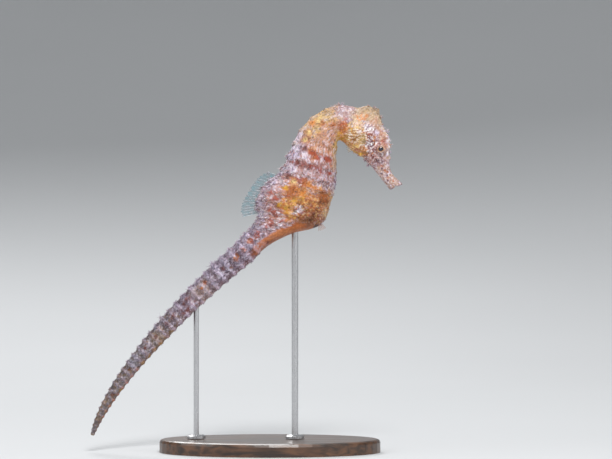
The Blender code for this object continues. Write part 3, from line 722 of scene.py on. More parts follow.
def add_piece(name, verts, faces, material, replaces=(), colours=None, uvs=None, seam=False):
    """A mesh in millimetres becomes a smooth piece that rides with the model. It may stand for
    nodes of the frame, and its unwrap may have a seam where the last corner meets the first."""
    mesh = bpy.data.meshes.new(name)
    mesh.from_pydata((np.asarray(verts) * MM).tolist(), [], faces)
    mesh.shade_smooth()
    if colours is not None:
        layer = mesh.color_attributes.new("markings", "FLOAT_COLOR", "POINT")
        rgba = np.column_stack([colours, np.ones(len(colours))]).astype(np.float32)
        layer.data.foreach_set("color", rgba.ravel())
    if uvs is not None:
        layer = mesh.uv_layers.new(name="OFBake")
        loops = np.zeros(len(mesh.loops), int)
        mesh.loops.foreach_get("vertex_index", loops)
        values = np.asarray(uvs)[loops]
        if seam:
            close_seam(values, [len(face) for face in faces])
        layer.data.foreach_set("uv", values.astype(np.float32).ravel())
    mesh.materials.append(material)
    obj = add_to_scene(name, mesh)
    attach(obj, "root")
    if replaces:
        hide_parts(*replaces)


def close_seam(values, corners):
    """Makes the faces on the unwrap's seam end at 1 and not at 0, given each face's corners."""
    face = np.repeat(np.arange(len(corners)), corners)
    widest = np.zeros(len(corners))
    np.maximum.at(widest, face, values[:, 0])
    values[(widest[face] > 0.9) & (values[:, 0] < 0.1), 0] += 1


def tube_faces(rows, around, start=0, capped=False):
    """Quads between neighbouring rows of a closed tube of points, with its ends capped or open."""
    faces = []
    for r in range(rows - 1):
        for i in range(around):
            j = (i + 1) % around
            a, b = start + r * around, start + (r + 1) * around
            faces.append((a + i, a + j, b + j, b + i))
    if capped:
        faces.append(tuple(range(start, start + around))[::-1])
        faces.append(tuple(range(start + (rows - 1) * around, start + rows * around)))
    return faces


def grid_normals(grid):
    """Outward unit normals of a closed tube of points shaped (rows, around, 3)."""
    along = np.gradient(grid, axis=0)
    across = np.roll(grid, -1, axis=1) - np.roll(grid, 1, axis=1)
    normal = unit(np.cross(across, along))
    outward = grid - grid.mean(axis=1, keepdims=True)
    sign = np.sign((normal * outward).sum(axis=(1, 2)))[:, None, None]
    return normal * sign


# Mouth: how far the lips turn in, how full they are, and how deep the opening is and how much painted
# shade darkens it
LIP_TURN, LIP_BULGE, MOUTH_ROWS, MOUTH_AXIS = 0.55, 0.25, 6, 12
MOUTH_DEPTH, MOUTH_FROM, MOUTH_PAINTED_SHADE = 1.6, 0.3, 0.85


class Skin:
    """The displaced body grid with its normals and markings, for the skin and its coat."""

    def __init__(self):
        self.rings, self.length = even_rings(SKIN_ALONG)
        t, u = np.meshgrid(self.rings, np.arange(SKIN_AROUND) * CORNERS / SKIN_AROUND, indexing="ij")
        self.shape = t.shape
        self.t, u = t.ravel(), u.ravel()
        plain = body_points(self.t, u)
        normals = grid_normals(plain.reshape(*self.shape, 3)).reshape(-1, 3)
        dorsal, ventral, _ = rails(self.t)
        axis = ventral - dorsal
        span = (axis**2).sum(1)
        self.share = ((plain[:, [0, 2]] - dorsal) * axis).sum(1) / span
        depth = np.interp(self.t, DEPTH_RINGS, COAT_DEPTH)
        lift = relief(plain, self.t, u, self.share)
        self.points = turret(plain + normals * (lift - depth)[:, None])
        self.points -= lip_notch(self.t, self.share)
        self.grid = self.points.reshape(*self.shape, 3)
        self.normals = grid_normals(self.grid).reshape(-1, 3)
        walked = np.repeat(np.linspace(0, self.length, SKIN_ALONG), SKIN_AROUND)
        height = self.share * np.sqrt(span)
        local = np.column_stack([walked * STREAK_SQUASH, plain[:, 1], height])
        self.colours, self.calm = markings(plain, self.t, self.share, local)

    def place(self, ring, corner):
        """Fractional rows and columns at rings and corners of the outline."""
        row = np.interp(ring, self.rings, np.arange(len(self.rings)))
        return row, np.array(corner) * self.shape[1] / CORNERS

    def at(self, row, column):
        """Places, normals, forward ways and grid points at fractional rows and columns."""
        rows, around = self.shape
        grid = self.grid
        row = np.clip(row, 0, rows - 1.01)
        column = column % around
        r, c = row.astype(int), column.astype(int)
        part_r, part_c = (row - r)[:, None], (column - c)[:, None]
        beside = (c + 1) % around
        low = grid[r, c] + (grid[r, beside] - grid[r, c]) * part_c
        high = grid[r + 1, c] + (grid[r + 1, beside] - grid[r + 1, c]) * part_c
        root = r * around + c
        return low + (high - low) * part_r, self.normals[root], unit(high - low), root


FLESH = [
    "coronet", "head", "snout", "neck", "trunk_front", "trunk_rear", "brood_pouch",
    "tail_base", "tail_first", "tail_second", "tail_third", "tail_fourth", "tail_tip",
]


def make_skin(skin):
    """The skin from the tail's closed tip to the lips, which turn in to a small mouth that painted shade
    darkens inward.
    """
    rows, around = skin.shape
    rim = skin.grid[-1]
    centre = rim.mean(0)
    inward = unit(skin.grid[-MOUTH_AXIS].mean(0) - centre)
    extra, shades = [], []
    for share in np.arange(1, MOUTH_ROWS + 1) / MOUTH_ROWS:
        turned = min(share * 2, 1) * math.pi
        size = 1 - LIP_TURN * math.sin(turned / 2)
        sink = MOUTH_DEPTH * max(0, share - MOUTH_FROM) / (1 - MOUTH_FROM)
        bulge = LIP_BULGE * math.sin(turned)
        extra.append(centre + (rim - centre) * size + inward * (sink - bulge))
        # Painted shade: the rows that turn into the mouth darken inward, as its opening lies in shade
        shades.append(skin.colours[-around:] * (1 - MOUTH_PAINTED_SHADE * soft_step(share, 0.3, 0.8)))
    verts = np.concatenate([skin.grid, extra]).reshape(-1, 3)
    colours = np.concatenate([skin.colours, *shades])
    rows += MOUTH_ROWS
    across = np.tile(np.arange(around) / around, rows)
    unwrap = np.column_stack([across, np.repeat(np.linspace(0, 1, rows), around)])
    add_piece(
        "body_skin", verts, tube_faces(rows, around, capped=True), skin_material("skin_finish"),
        FLESH, colours, unwrap, seam=True,
    )


# Coat ---------------------------------------------------------------------------------------------

COAT_SEED = 7
BLADE_SIDES = 3
# Rows of a papilla up to its tip: share of its length and of its width
BLADE_ROWS = np.array([(0.0, 1.0), (0.4, 0.9), (0.75, 0.6)])
BLADE_SINK, BLADE_CURL, BLADE_FLAT = 0.12, 0.15, 0.6
# Each papilla takes a small square of the unwrap, at its own place on the skin
PATCH_SIZE = 0.003

# Short papillae, grown in clumps: piece, count, ring range
FUZZ = [
    ("coat_tail_end", 9500, (1.0, 19)),
    ("coat_tail_root", 12000, (19, 31)),
    ("coat_trunk_rear", 11500, (31, 37.5)),
    ("coat_trunk_front", 11500, (37.5, 42.5)),
    ("coat_neck", 8000, (42.5, 46.5)),
    ("coat_head", 8500, (46.5, 61.4)),
]
# A clump's papillae, how far they spread, and how much they turn aside, together and each
CLUMP, CLUMP_ROWS, CLUMP_COLUMNS, CLUMP_TURN, OWN_TURN = 3, 1.0, 0.6, 0.6, 0.25
# Their length, width and lean from upright in degrees, along the body
FUZZ_RINGS = [0, 12, 26, POUCH, 36, 40, 44, 47, 52, 62]
FUZZ_LENGTH = [0.25, 0.55, 0.8, 0.85, 0.7, 0.9, 1.1, 0.45, 0.3, 0.2]
FUZZ_WIDTH = [0.06, 0.08, 0.08, 0.09, 0.09, 0.1, 0.11, 0.09, 0.08, 0.06]
FUZZ_LEAN, LEAN_SPREAD, LEAN_LIMITS = [50, 44, 38, 44, 54, 74, 82, 64, 66, 76], 7, (15, 86)
# Along the mid back they are longer and stand more upright
BACK_REACH, BACK_LONGER, BACK_UPRIGHT = 0.12, 0.4, 0.25


def scatter(skin, rng, count, first, last):
    """Random places on the skin between two rings, evenly over its area, as (row, column)."""
    low = skin.grid[:-1]
    area = np.linalg.norm(np.cross(np.roll(low, -1, axis=1) - low, skin.grid[1:] - low), axis=2)
    area = area * ((skin.rings[:-1] >= first) & (skin.rings[:-1] < last))[:, None]
    chosen = rng.choice(area.size, count, p=(area / area.sum()).ravel())
    row, column = np.unravel_index(chosen, area.shape)
    return row + rng.random(count), column + rng.random(count)


def blade_faces(count):
    """Faces of a number of papillae, each with its rows of points followed by its tip."""
    rows = len(BLADE_ROWS)
    faces = tube_faces(rows, BLADE_SIDES)
    last, tip = (rows - 1) * BLADE_SIDES, rows * BLADE_SIDES
    faces += [(last + k, last + (k + 1) % BLADE_SIDES, tip) for k in range(BLADE_SIDES)]
    faces.append(tuple(range(BLADE_SIDES))[::-1])
    return [tuple(i + n * (tip + 1) for i in face) for n in range(count) for face in faces]


def grow(skin, name, slot, row, column, length, width, lean, turn, base, tip):
    """A piece of tapered papillae. Each leans back along the body, turned a little to a side."""
    place, normal, forward, root = skin.at(row, column)
    count, rows = len(row), len(BLADE_ROWS)
    back = np.cross(normal, forward) * np.sin(turn)[:, None] - forward * np.cos(turn)[:, None]
    way = unit(normal * np.cos(lean)[:, None] + back * np.sin(lean)[:, None])
    across = unit(np.cross(way, normal))
    thick = np.cross(across, way) * BLADE_FLAT
    levels = np.append(BLADE_ROWS[:, 0], 1.0)
    start = (place - normal * BLADE_SINK)[:, None]
    reach = length[:, None, None] * levels[None, :, None]
    spine = start + way[:, None] * reach - normal[:, None] * BLADE_CURL * reach * levels[:, None]
    angle = 2 * np.pi * np.arange(BLADE_SIDES) / BLADE_SIDES
    spread = across[:, None] * np.cos(angle)[:, None] + thick[:, None] * np.sin(angle)[:, None]
    size = width[:, None] * BLADE_ROWS[:, 1]
    ring = spine[:, :rows, None] + spread[:, None] * size[..., None, None]
    verts = np.concatenate([ring.reshape(count, -1, 3), spine[:, rows:]], axis=1)
    level = np.append(np.repeat(BLADE_ROWS[:, 0], BLADE_SIDES), 1.0)[None, :, None]
    colours = base[:, None] + (tip - base)[:, None] * level
    along, around = skin.shape
    middle = np.column_stack([column % around / around, row / (along + MOUTH_ROWS - 1)])
    middle = np.clip(middle, PATCH_SIZE / 2, 1 - PATCH_SIZE / 2)
    corners = np.column_stack([
        np.append(np.tile(np.arange(BLADE_SIDES) / (BLADE_SIDES - 1), rows), 0.5),
        np.append(np.repeat(np.arange(rows) / rows, BLADE_SIDES), 1.0),
    ])
    unwrap = middle[:, None] + (corners - 0.5) * PATCH_SIZE
    add_piece(
        name, verts.reshape(-1, 3), blade_faces(count), skin_material("coat_finish"), (),
        colours.reshape(-1, 3), unwrap.reshape(-1, 2),
    )


# Each papilla draws a share: below the first it is pale at its tip, above the second it is dark
# The last two: how much of its colour a dark papilla keeps at its root, and how much painted shade darkens
# the roots of the others
PALE_DRAW, DARK_DRAW, DARK_SHADE, ROOT_PAINTED_SHADE = 0.42, 0.74, 0.4, 0.8
# Colours of some tips on the trunk: each takes the papillae whose draw lies in a range
TIP_DRAWS = [("red", 0.42, 0.5), ("rose", 0.5, 0.58), ("lilac", 0.58, 0.66), ("orange", 0.66, 0.7)]
LIVELY, LIVELY_STRENGTH = ((27, 32), (42, 44)), 0.8
# Pale tips thin out toward the tail's end: painted shade, as if less light reached it there
TAIL_FADING = ([0, 24], [0.35, 1])


def blade_colours(skin, root, draw):
    """Root and tip colours: most papillae keep the marking under them, with painted shade at the root and
    a little painted light at the tip, some pale to their tip, and some are dark."""
    own, calm, t = skin.colours[root], skin.calm[root][:, None], skin.t[root][:, None]
    draw = draw[:, None]
    fading = np.interp(t, *TAIL_FADING)
    pale = draw < PALE_DRAW * (1 - 0.8 * calm)
    dark = draw > DARK_DRAW + 0.22 * calm
    frost = linear("frost") + (linear("white") - linear("frost")) * soft_step(t, 28, 36)
    frosted = own + (frost - own) * (0.9 - 0.6 * calm) * fading
    # Ordinary tips are painted a little lighter than the marking, as painted light at the tip
    tip = np.where(pale, frosted, np.where(dark, own * 0.35 + linear("plum") * 0.2, own * 1.1))
    lively = (1 - calm) * window(t, *LIVELY) * LIVELY_STRENGTH
    for name, first, last in TIP_DRAWS:
        chosen = (draw > first) & (draw < last)
        tip = np.where(chosen, tip + (linear(name) - tip) * lively, tip)
    # Painted shade: every root except a dark papilla's is darkened, as shade falls between the papillae
    return own * np.where(dark, DARK_SHADE, ROOT_PAINTED_SHADE), tip


def make_fuzz(skin, rng, name, count, rings):
    """Short papillae all over, in clumps that share a shade and a direction."""
    clumps = count // CLUMP
    total = clumps * CLUMP
    row, column = (np.repeat(place, CLUMP) for place in scatter(skin, rng, clumps, *rings))
    row = row + rng.normal(0, CLUMP_ROWS, total)
    column = column + rng.normal(0, CLUMP_COLUMNS, total)
    draw = np.repeat(rng.random(clumps), CLUMP)
    turn = np.repeat(rng.normal(0, CLUMP_TURN, clumps), CLUMP) + rng.normal(0, OWN_TURN, total)
    size = rng.uniform(0.7, 1.3, total)
    tilt = rng.normal(0, LEAN_SPREAD, total)
    place, _, _, root = skin.at(row, column)
    t, share = skin.t[root], skin.share[root]
    bare = (t > POUCH + 1) & (t < VENT + 0.2) & (share > 0.6)
    eye = distance(place, EYE) < LID_RADIUS + 0.5
    keep = ~bare & ~eye & (t < LIPS - 0.5) & (t > SKIN_START)
    back = bell(share, BACK_REACH)
    longer = 1 + BACK_LONGER * back * (1 - soft_step(t, 42, 44))
    steeper = 1 - BACK_UPRIGHT * back * (1 - soft_step(t, 40, 42))
    length = np.interp(t, FUZZ_RINGS, FUZZ_LENGTH) * size * longer
    width = np.interp(t, FUZZ_RINGS, FUZZ_WIDTH) * (0.6 + 0.4 * size)
    turn *= 1 - 0.7 * window(t, *CHEST)
    lean = np.clip(np.interp(t, FUZZ_RINGS, FUZZ_LEAN) * steeper + tilt, *LEAN_LIMITS)
    slot = "head_skin" if name == "coat_head" else "body_skin"
    parts = (row, column, length, width, np.radians(lean), turn, *blade_colours(skin, root, draw))
    grow(skin, name, slot, *(part[keep] for part in parts))


# Bristles that stand on the tubercles: ridge, count on each, their length on the tail and trunk
BRISTLES = [
    (1, 12, 2.0, 1.5), (13, 12, 2.0, 1.5), (0, 9, 1.8, 1.5), (3, 8, 1.0, 0.7), (11, 8, 1.0, 0.7),
    (5, 6, 0.6, 0.45), (9, 6, 0.6, 0.45),
]
BRISTLE_WIDTH, CHEST_FROM, NECK_BRISTLES, BIG_BRISTLES = 0.1, 41, 0.6, 0.25
BRISTLE_LEAN, BRISTLE_SPREAD, SIDE_RIDGES = (8, 48), (0.1, 0.16), (3, 5, 9, 11)
# At the tail's end they are this share as long and as wide
FIRST_BRISTLE, SHORTEST, THINNEST = 3, 0.3, 0.6


def make_bristles(skin, rng):
    """A small brush of stiffer papillae on each tubercle of the tail, trunk and neck."""
    rings, columns, lengths = [], [], []
    for ring in range(FIRST_BRISTLE, NAPE):
        for ridge, count, on_tail, on_trunk in BRISTLES:
            if ridge in SIDE_RIDGES and (on_pouch(ring) or ring > CHEST_FROM):
                continue
            reach = [SHORTEST * on_tail, on_tail, on_tail, on_trunk]
            longest = np.interp(ring, [FIRST_BRISTLE, 20, POUCH, VENT], reach)
            longest *= 1 + BIG_BRISTLES * (BIG_TUBERCLES.get(ring, 1.0) - 1)
            longest *= NECK_BRISTLES if ring > CHEST_FROM else 1
            rings += list(ring + rng.normal(0, BRISTLE_SPREAD[0], count))
            columns += list(ridge + rng.normal(0, BRISTLE_SPREAD[1], count))
            lengths += list(longest * rng.uniform(0.5, 1.0, count))
    count = len(rings)
    row, column = skin.place(rings, columns)
    width = BRISTLE_WIDTH * np.interp(rings, [FIRST_BRISTLE, 20], [THINNEST, 1.0])
    lean = np.radians(rng.uniform(*BRISTLE_LEAN, count))
    turn = rng.uniform(-np.pi, np.pi, count)
    base, tip = blade_colours(skin, skin.at(row, column)[3], rng.random(count) * 0.6)
    shape = (np.array(lengths), width, lean, turn)
    grow(skin, "coat_bristles", "body_skin", row, column, *shape, base, tip)


# Longer filaments that show in the outline: ring, corner of the outline, length, how many
FILAMENTS = [
    (46.2, 0, 2.6, 14), (45.8, 13.5, 1.8, 7), (45.8, 0.5, 1.8, 7), (41.2, 0, 1.8, 9), (39.9, 0, 1.7, 9),
    (36.4, 0.3, 1.6, 8), (37.2, 13.7, 1.8, 9), (37.8, 0.3, 1.6, 8), (38.6, 13.7, 1.3, 7),
    (26.5, 0, 2.4, 9), (19.5, 0, 2.0, 9), (29.2, 0, 1.9, 8), (23.2, 0, 1.7, 8),
    (49.6, 0.6, 1.1, 6), (49.6, 13.4, 1.1, 6), (50.6, 0.6, 1.4, 7), (50.6, 13.4, 1.4, 7),
    (51.8, 0, 2.0, 8), (52.6, 0, 1.4, 6), (53.3, 0.5, 2.6, 9), (53.3, 13.5, 2.6, 9),
    (54.2, 0, 1.8, 8), (54.9, 0, 1.8, 8), (55.6, 0, 1.9, 9), (56.3, 0, 1.2, 5),
    (52.9, 7, 1.4, 6), (50.6, 6.6, 1.0, 5), (50.6, 7.4, 1.0, 5), (49.0, 7, 0.9, 4), (54.8, 7, 1.6, 8),
]
FILAMENT_WIDTH, FILAMENT_SPREAD, FILAMENT_LEAN = 0.2, 0.3, (5, 50)


def make_filaments(skin, rng):
    """Pale, slender skin filaments in small sprays."""
    rings, corners, lengths, counts = (np.array(column) for column in zip(*FILAMENTS))
    total = counts.sum()
    ring = np.repeat(rings, counts) + rng.normal(0, FILAMENT_SPREAD / 2, total)
    corner = np.repeat(corners, counts) + rng.normal(0, FILAMENT_SPREAD, total)
    length = np.repeat(lengths, counts) * rng.uniform(0.6, 1.0, total)
    row, column = skin.place(ring, corner)
    lean = np.radians(rng.uniform(*FILAMENT_LEAN, total))
    turn = rng.uniform(-np.pi, np.pi, total)
    own = skin.colours[skin.at(row, column)[3]]
    tip = own * 0.4 + linear("frost") * 0.6
    shape = (length, np.full(total, FILAMENT_WIDTH), lean, turn)
    grow(skin, "coat_filaments", "head_skin", row, column, *shape, own, tip)


# Materials ----------------------------------------------------------------------------------------


def set_inputs(node, **values):
    """Sets a node's own sockets: coat_weight=0.4 sets the one called Coat Weight."""
    for name, value in values.items():
        node.inputs[name.replace("_", " ").title()].default_value = value


class Finish:
    """A node material in the making. Its settings are constants on the shader's own sockets."""

    def __init__(self, name, **settings):
        self.material = bpy.data.materials.new(name)
        self.material.use_nodes = True
        self.nodes = self.material.node_tree.nodes
        self.link = self.material.node_tree.links.new
        self.shader = self.nodes["Principled BSDF"]
        set_inputs(self.shader, **settings)

    def noise(self, scale, detail=4.0, distortion=0.0, stretch=None):
        """Noise in the object's space, and finer along an axis with a larger stretch."""
        place = self.nodes.new("ShaderNodeTexCoord").outputs["Object"]
        if stretch:
            mapping = self.nodes.new("ShaderNodeMapping")
            set_inputs(mapping, scale=stretch)
            self.link(place, mapping.inputs["Vector"])
            place = mapping.outputs["Vector"]
        made = self.nodes.new("ShaderNodeTexNoise")
        set_inputs(made, scale=scale, detail=detail, distortion=distortion)
        self.link(place, made.inputs["Vector"])
        return made.outputs["Fac"]

    def spread(self, source, low, high):
        """Noise spread over a range of values."""
        made = self.nodes.new("ShaderNodeMapRange")
        set_inputs(made, from_min=0.3, from_max=0.7, to_min=low, to_max=high)
        self.link(source, made.inputs["Value"])
        return made.outputs["Result"]

    def roughen(self, source, low, high):
        """Lets the noise vary the roughness."""
        self.link(self.spread(source, low, high), self.shader.inputs["Roughness"])

    def cloud(self, source, colours, stops=(0, 1)):
        """The base colour: two colours that cloud into each other with the noise."""
        ramp = self.nodes.new("ShaderNodeValToRGB")
        for element, stop, colour in zip(ramp.color_ramp.elements, stops, colours):
            element.position = stop
            element.color = (*colour, 1)
        self.link(source, ramp.inputs["Fac"])
        self.link(ramp.outputs["Color"], self.shader.inputs["Base Color"])

    def painted(self, source, low, high):
        """The base colour: the piece's own markings, finely speckled by the noise."""
        paint = self.nodes.new("ShaderNodeVertexColor")
        paint.layer_name = "markings"
        made = self.nodes.new("ShaderNodeMix")
        made.data_type = "RGBA"
        made.blend_type = "MULTIPLY"
        made.inputs["Factor"].default_value = 1
        self.link(paint.outputs["Color"], made.inputs["A"])
        self.link(self.spread(source, low, high), made.inputs["B"])
        self.link(made.outputs["Result"], self.shader.inputs["Base Color"])


@functools.cache
def skin_material(name):
    """Painted skin: the markings with a fine speckle, granular bump and a moist, waxy gloss."""
    made = Finish(
        name, subsurface_weight=0.08, subsurface_radius=(1.0, 0.4, 0.25),
        subsurface_scale=0.0006, coat_weight=0.12, coat_roughness=0.35,
    )
    made.painted(made.noise(1800.0, 3.0), 0.78, 1.15)
    made.roughen(made.noise(700.0, 2.0), 0.42, 0.68)
    bump = made.nodes.new("ShaderNodeBump")
    set_inputs(bump, strength=0.5, distance=0.00012)
    made.link(made.noise(2600.0), bump.inputs["Height"])
    made.link(bump.outputs["Normal"], made.shader.inputs["Normal"])
    return made.material


# Eyes ---------------------------------------------------------------------------------------------

EYE_ROWS, EYE_AROUND, EYE_POLE = 72, 96, 0.8
# How far the ball is in from the solid's surface, and the height and reach of the bulge
EYE_INSET, CORNEA_HEIGHT, CORNEA_REACH = 0.03, 0.1, 0.45
PUPIL_ANGLE, RING_ANGLE, IRIS_ANGLE, PUPIL_INK = 24.0, 28.0, 55.0, (0.008, 0.008, 0.02)


def make_eyes():
    """Each eyeball is a sphere whose pole looks outwards, with a low clear bulge over the pupil."""
    angles = np.radians(np.linspace(EYE_POLE, 180 - EYE_POLE, EYE_ROWS))
    turns = np.linspace(0, 2 * np.pi, EYE_AROUND, endpoint=False)
    a, b = np.meshgrid(angles, turns, indexing="ij")
    radius = EYE_RADIUS * (1 - EYE_INSET) + CORNEA_HEIGHT * bell(a, CORNEA_REACH)
    unwrap = np.column_stack([
        np.tile(np.arange(EYE_AROUND) / EYE_AROUND, EYE_ROWS),
        np.repeat(np.linspace(0, 1, EYE_ROWS), EYE_AROUND),
    ])
    for hand, side in (("left", 1), ("right", -1)):
        ball = [np.cos(b) * np.sin(a), side * np.cos(a), np.sin(b) * np.sin(a)]
        centre = np.array([EYE[0], side * EYE_SIDE, EYE[1]])
        verts = (np.stack(ball, axis=2) * radius[..., None] + centre).reshape(-1, 3)
        faces = tube_faces(EYE_ROWS, EYE_AROUND, capped=True)
        if side > 0:
            faces = [face[::-1] for face in faces]
        colours = eye_colours(np.degrees(a).ravel(), b.ravel(), verts)
        add_piece(
            "eyeball_" + hand, verts, faces, eye_material(), ("eye_" + hand,), colours,
            unwrap, seam=True,
        )


LID_TUBE, LID_SIDES, LID_FOLDS, LID_FLAT, LID_SINK = 0.2, 10, 0.12, 0.8, 0.05


def make_lids(skin):
    """A soft rim round the opening over each eye, in the colours of the skin beside it."""
    a, b = np.meshgrid(
        np.linspace(0, 2 * np.pi, EYE_AROUND, endpoint=False),
        np.linspace(0, 2 * np.pi, LID_SIDES, endpoint=False), indexing="ij",
    )
    tube = LID_TUBE * (1 + LID_FOLDS * np.cos(a * TURRET_FOLDS))
    reach = LID_RADIUS + tube * np.cos(b)
    out = EYE_SIDE + math.sqrt(TURRET_RADIUS**2 - LID_RADIUS**2) - LID_SINK
    out = out + tube * LID_FLAT * np.sin(b)
    unwrap = np.column_stack([a.ravel(), b.ravel()]) / (2 * np.pi)
    last = (EYE_AROUND - 1) * LID_SIDES
    for name, side in (("eyelid_left", 1), ("eyelid_right", -1)):
        rim = [EYE[0] + reach * np.cos(a), side * out, EYE[1] + reach * np.sin(a)]
        verts = np.stack(rim, axis=2).reshape(-1, 3)
        faces = tube_faces(EYE_AROUND, LID_SIDES)
        for k in range(LID_SIDES):
            j = (k + 1) % LID_SIDES
            faces.append((last + k, last + j, j, k))
        if side > 0:
            faces = [face[::-1] for face in faces]
        near = [int(np.linalg.norm(skin.points - v, axis=1).argmin()) for v in verts]
        colours = skin.colours[near] * 0.6 + linear("sand") * 0.4
        add_piece(name, verts, faces, skin_material("skin_finish"), (), colours, unwrap)


def eye_colours(angle, turn, points):
    """A dark pupil with a thin gold ring, and a speckled iris in the head's own colours."""
    edge = angle + rough(points, 0.7, 12) * 3 - 3.5 * np.cos(turn * 2)
    paint = Paint("rose", len(points))
    rays = np.cos(turn * 9 + rough(points, 1.2, 13) * 2)
    paint.above("maroon", rays, 0.1, 0.8, soft_step(edge, RING_ANGLE, IRIS_ANGLE) * 0.8)
    paint.above("frost", rough(points, 0.5, 14), 0.1, 0.5, 0.6)
    paint.above("plum", rough(points, 0.6, 15), 0.1, 0.5, 0.7)
    paint("orange", (1 - soft_step(edge, RING_ANGLE - 2, RING_ANGLE + 3)) * 0.6)
    ink = 1 - soft_step(edge, PUPIL_ANGLE - 1.5, PUPIL_ANGLE + 1.5)
    return paint.colour + (np.array(PUPIL_INK) - paint.colour) * ink[:, None]


@functools.cache
def eye_material():
    """The painted eyeball under a clear, glossy coat."""
    made = Finish("eye_finish", roughness=0.3, coat_weight=0.6, coat_roughness=0.03)
    made.painted(made.noise(3000.0, 3.0), 0.85, 1.1)
    return made.material


# Fins ---------------------------------------------------------------------------------------------

DORSAL_RINGS, DORSAL_RAYS, DORSAL_TURN = (35.6, 39.4), 18, (194, 158)
DORSAL_REAR, DORSAL_FRONT, DORSAL_DIP, DORSAL_SINK = 7.4, 4.8, 1.4, 0.9
DORSAL_CLEAR, DORSAL_CORNER, CORNER_POWER = 0.5, 1.2, 8
DORSAL_SWAY, SWAY_TURNS, DORSAL_SCALLOP, SCALLOP = 0.1, 9, 0.1, 0.05
# Fans: root, length, way and spread in degrees, width at the root, number of rays
ANAL_FAN = ((18.9, 87.2), 3.0, -70, 40, 0.9, 5)
PECTORAL_FAN = ((36.2, 119.2), 7.6, 186, 44, 3.4, 14)
PECTORAL_OUT, PECTORAL_FLARE = 5.4, math.tan(math.radians(20.0))
FIN_THICKNESS, FIN_THINNING, FIN_STEPS, BETWEEN_RAYS = 0.22, 0.35, 14, 4
# Rays taper by a share of their radius, with joints that swell and shrink them
RAY_SIDES, RAY_TAPER, RAY_JOINTS = 6, 0.65, (0.92, 1.12)
# Each fin's finish and the radius of its rays
FIN_TINTS = {"dorsal": ("teal", 0.12), "anal": ("warm", 0.08), "pectoral": ("pale", 0.08)}


def fin_grid(roots, ways, lengths, scallop=SCALLOP):
    """A membrane's mid surface, as (across, along, 3): rays with stretches of skin between them."""
    count = (len(roots) - 1) * BETWEEN_RAYS + 1
    place = np.linspace(0, len(roots) - 1, count)
    index = np.arange(len(roots))
    root = np.column_stack([np.interp(place, index, axis) for axis in roots.T])
    way = unit(np.column_stack([np.interp(place, index, axis) for axis in ways.T]))
    length = np.interp(place, index, lengths)
    length *= 1 - scallop * (1 - ring_crest(place))
    along = np.linspace(0, 1, FIN_STEPS)
    return root[:, None] + way[:, None] * (length[:, None] * along)[..., None]


def add_fin(name, grid, node):
    """A closed thin membrane over the grid, and its jointed rays as a piece of their own."""
    across, steps, _ = grid.shape
    normal = unit(np.cross(np.gradient(grid, axis=0), np.gradient(grid, axis=1)))
    thin = np.linspace(1, FIN_THINNING, steps)[None, :, None] * FIN_THICKNESS / 2
    verts = np.concatenate([grid + normal * thin, grid - normal * thin]).reshape(-1, 3)
    faces = []
    size = across * steps
    for a in range(across - 1):
        for i in range(a * steps, (a + 1) * steps - 1):
            faces.append((i, i + steps, i + steps + 1, i + 1))
            faces.append((i + size, i + size + 1, i + size + steps + 1, i + size + steps))
    rim = [a * steps for a in range(across)]
    rim += [(across - 1) * steps + s for s in range(1, steps)]
    rim += [a * steps + steps - 1 for a in range(across - 2, -1, -1)]
    rim += range(steps - 2, 0, -1)
    for i, j in zip(rim, rim[1:] + rim[:1]):
        faces.append((i, i + size, j + size, j))
    tint, thickness = FIN_TINTS[name.split("_")[0]]
    membrane = fin_material("membrane_" + tint)
    add_piece(name + "_membrane", verts, faces, membrane, (node,))

    verts, faces = [], []
    rows = steps * 2 - 1
    for a in range(0, across, BETWEEN_RAYS):
        root, reach = grid[a, 0], grid[a, -1] - grid[a, 0]
        side = unit(normal[a].mean(0))
        up = np.cross(unit(reach), side)
        faces += tube_faces(rows, RAY_SIDES, len(verts), capped=True)
        for s in range(rows):
            share = s / (rows - 1)
            radius = thickness * (1 - RAY_TAPER * share) * RAY_JOINTS[s % 2]
            for k in range(RAY_SIDES):
                angle = 2 * math.pi * k / RAY_SIDES
                way = side * math.cos(angle) + up * math.sin(angle)
                verts.append(root + reach * share + way * radius)
    add_piece(name + "_rays", verts, faces, fin_material("ray_" + tint))


def make_fins():
    """The dorsal fin, whose rays trail and are longest at the rear, and the three fans."""
    share = np.linspace(0, 1, DORSAL_RAYS)
    ring = np.interp(share, (0, 1), DORSAL_RINGS)
    dorsal, ventral, _ = rails(ring)
    root = body_points(ring, np.zeros(len(ring)))[:, [0, 2]] + unit(dorsal - ventral) * DORSAL_CLEAR
    angle = np.radians(np.interp(share, (0, 1), DORSAL_TURN))
    x, z = np.cos(angle), np.sin(angle)
    length = DORSAL_REAR + (DORSAL_FRONT - DORSAL_REAR) * share - DORSAL_DIP * np.sin(np.pi * share)
    length -= DORSAL_CORNER * (share**CORNER_POWER + (1 - share) ** CORNER_POWER)
    roots = upright(root[:, 0] - x * DORSAL_SINK, root[:, 1] - z * DORSAL_SINK)
    ways = upright(x, z, DORSAL_SWAY * np.sin(share * SWAY_TURNS))
    add_fin("dorsal", fin_grid(roots, ways, length + DORSAL_SINK, DORSAL_SCALLOP), "dorsal_fin")

    for name, node, side, fan in (
        ("anal", "anal_fin", 0, ANAL_FAN),
        ("pectoral_left", "pectoral_fin_left", 1, PECTORAL_FAN),
        ("pectoral_right", "pectoral_fin_right", -1, PECTORAL_FAN),
    ):
        place, length, way, spread, width, rays = fan
        share = np.linspace(-0.5, 0.5, rays)
        angle = np.radians(way + share * spread)
        x = place[0] - math.sin(math.radians(way)) * width * share
        z = place[1] + math.cos(math.radians(way)) * width * share
        ways = upright(np.cos(angle), np.sin(angle))
        grid = fin_grid(upright(x, z), ways, np.full(rays, length))
        if side:
            grid[..., 1] += side * (PECTORAL_OUT + (place[0] - grid[..., 0]) * PECTORAL_FLARE)
        add_fin(name, grid, node)


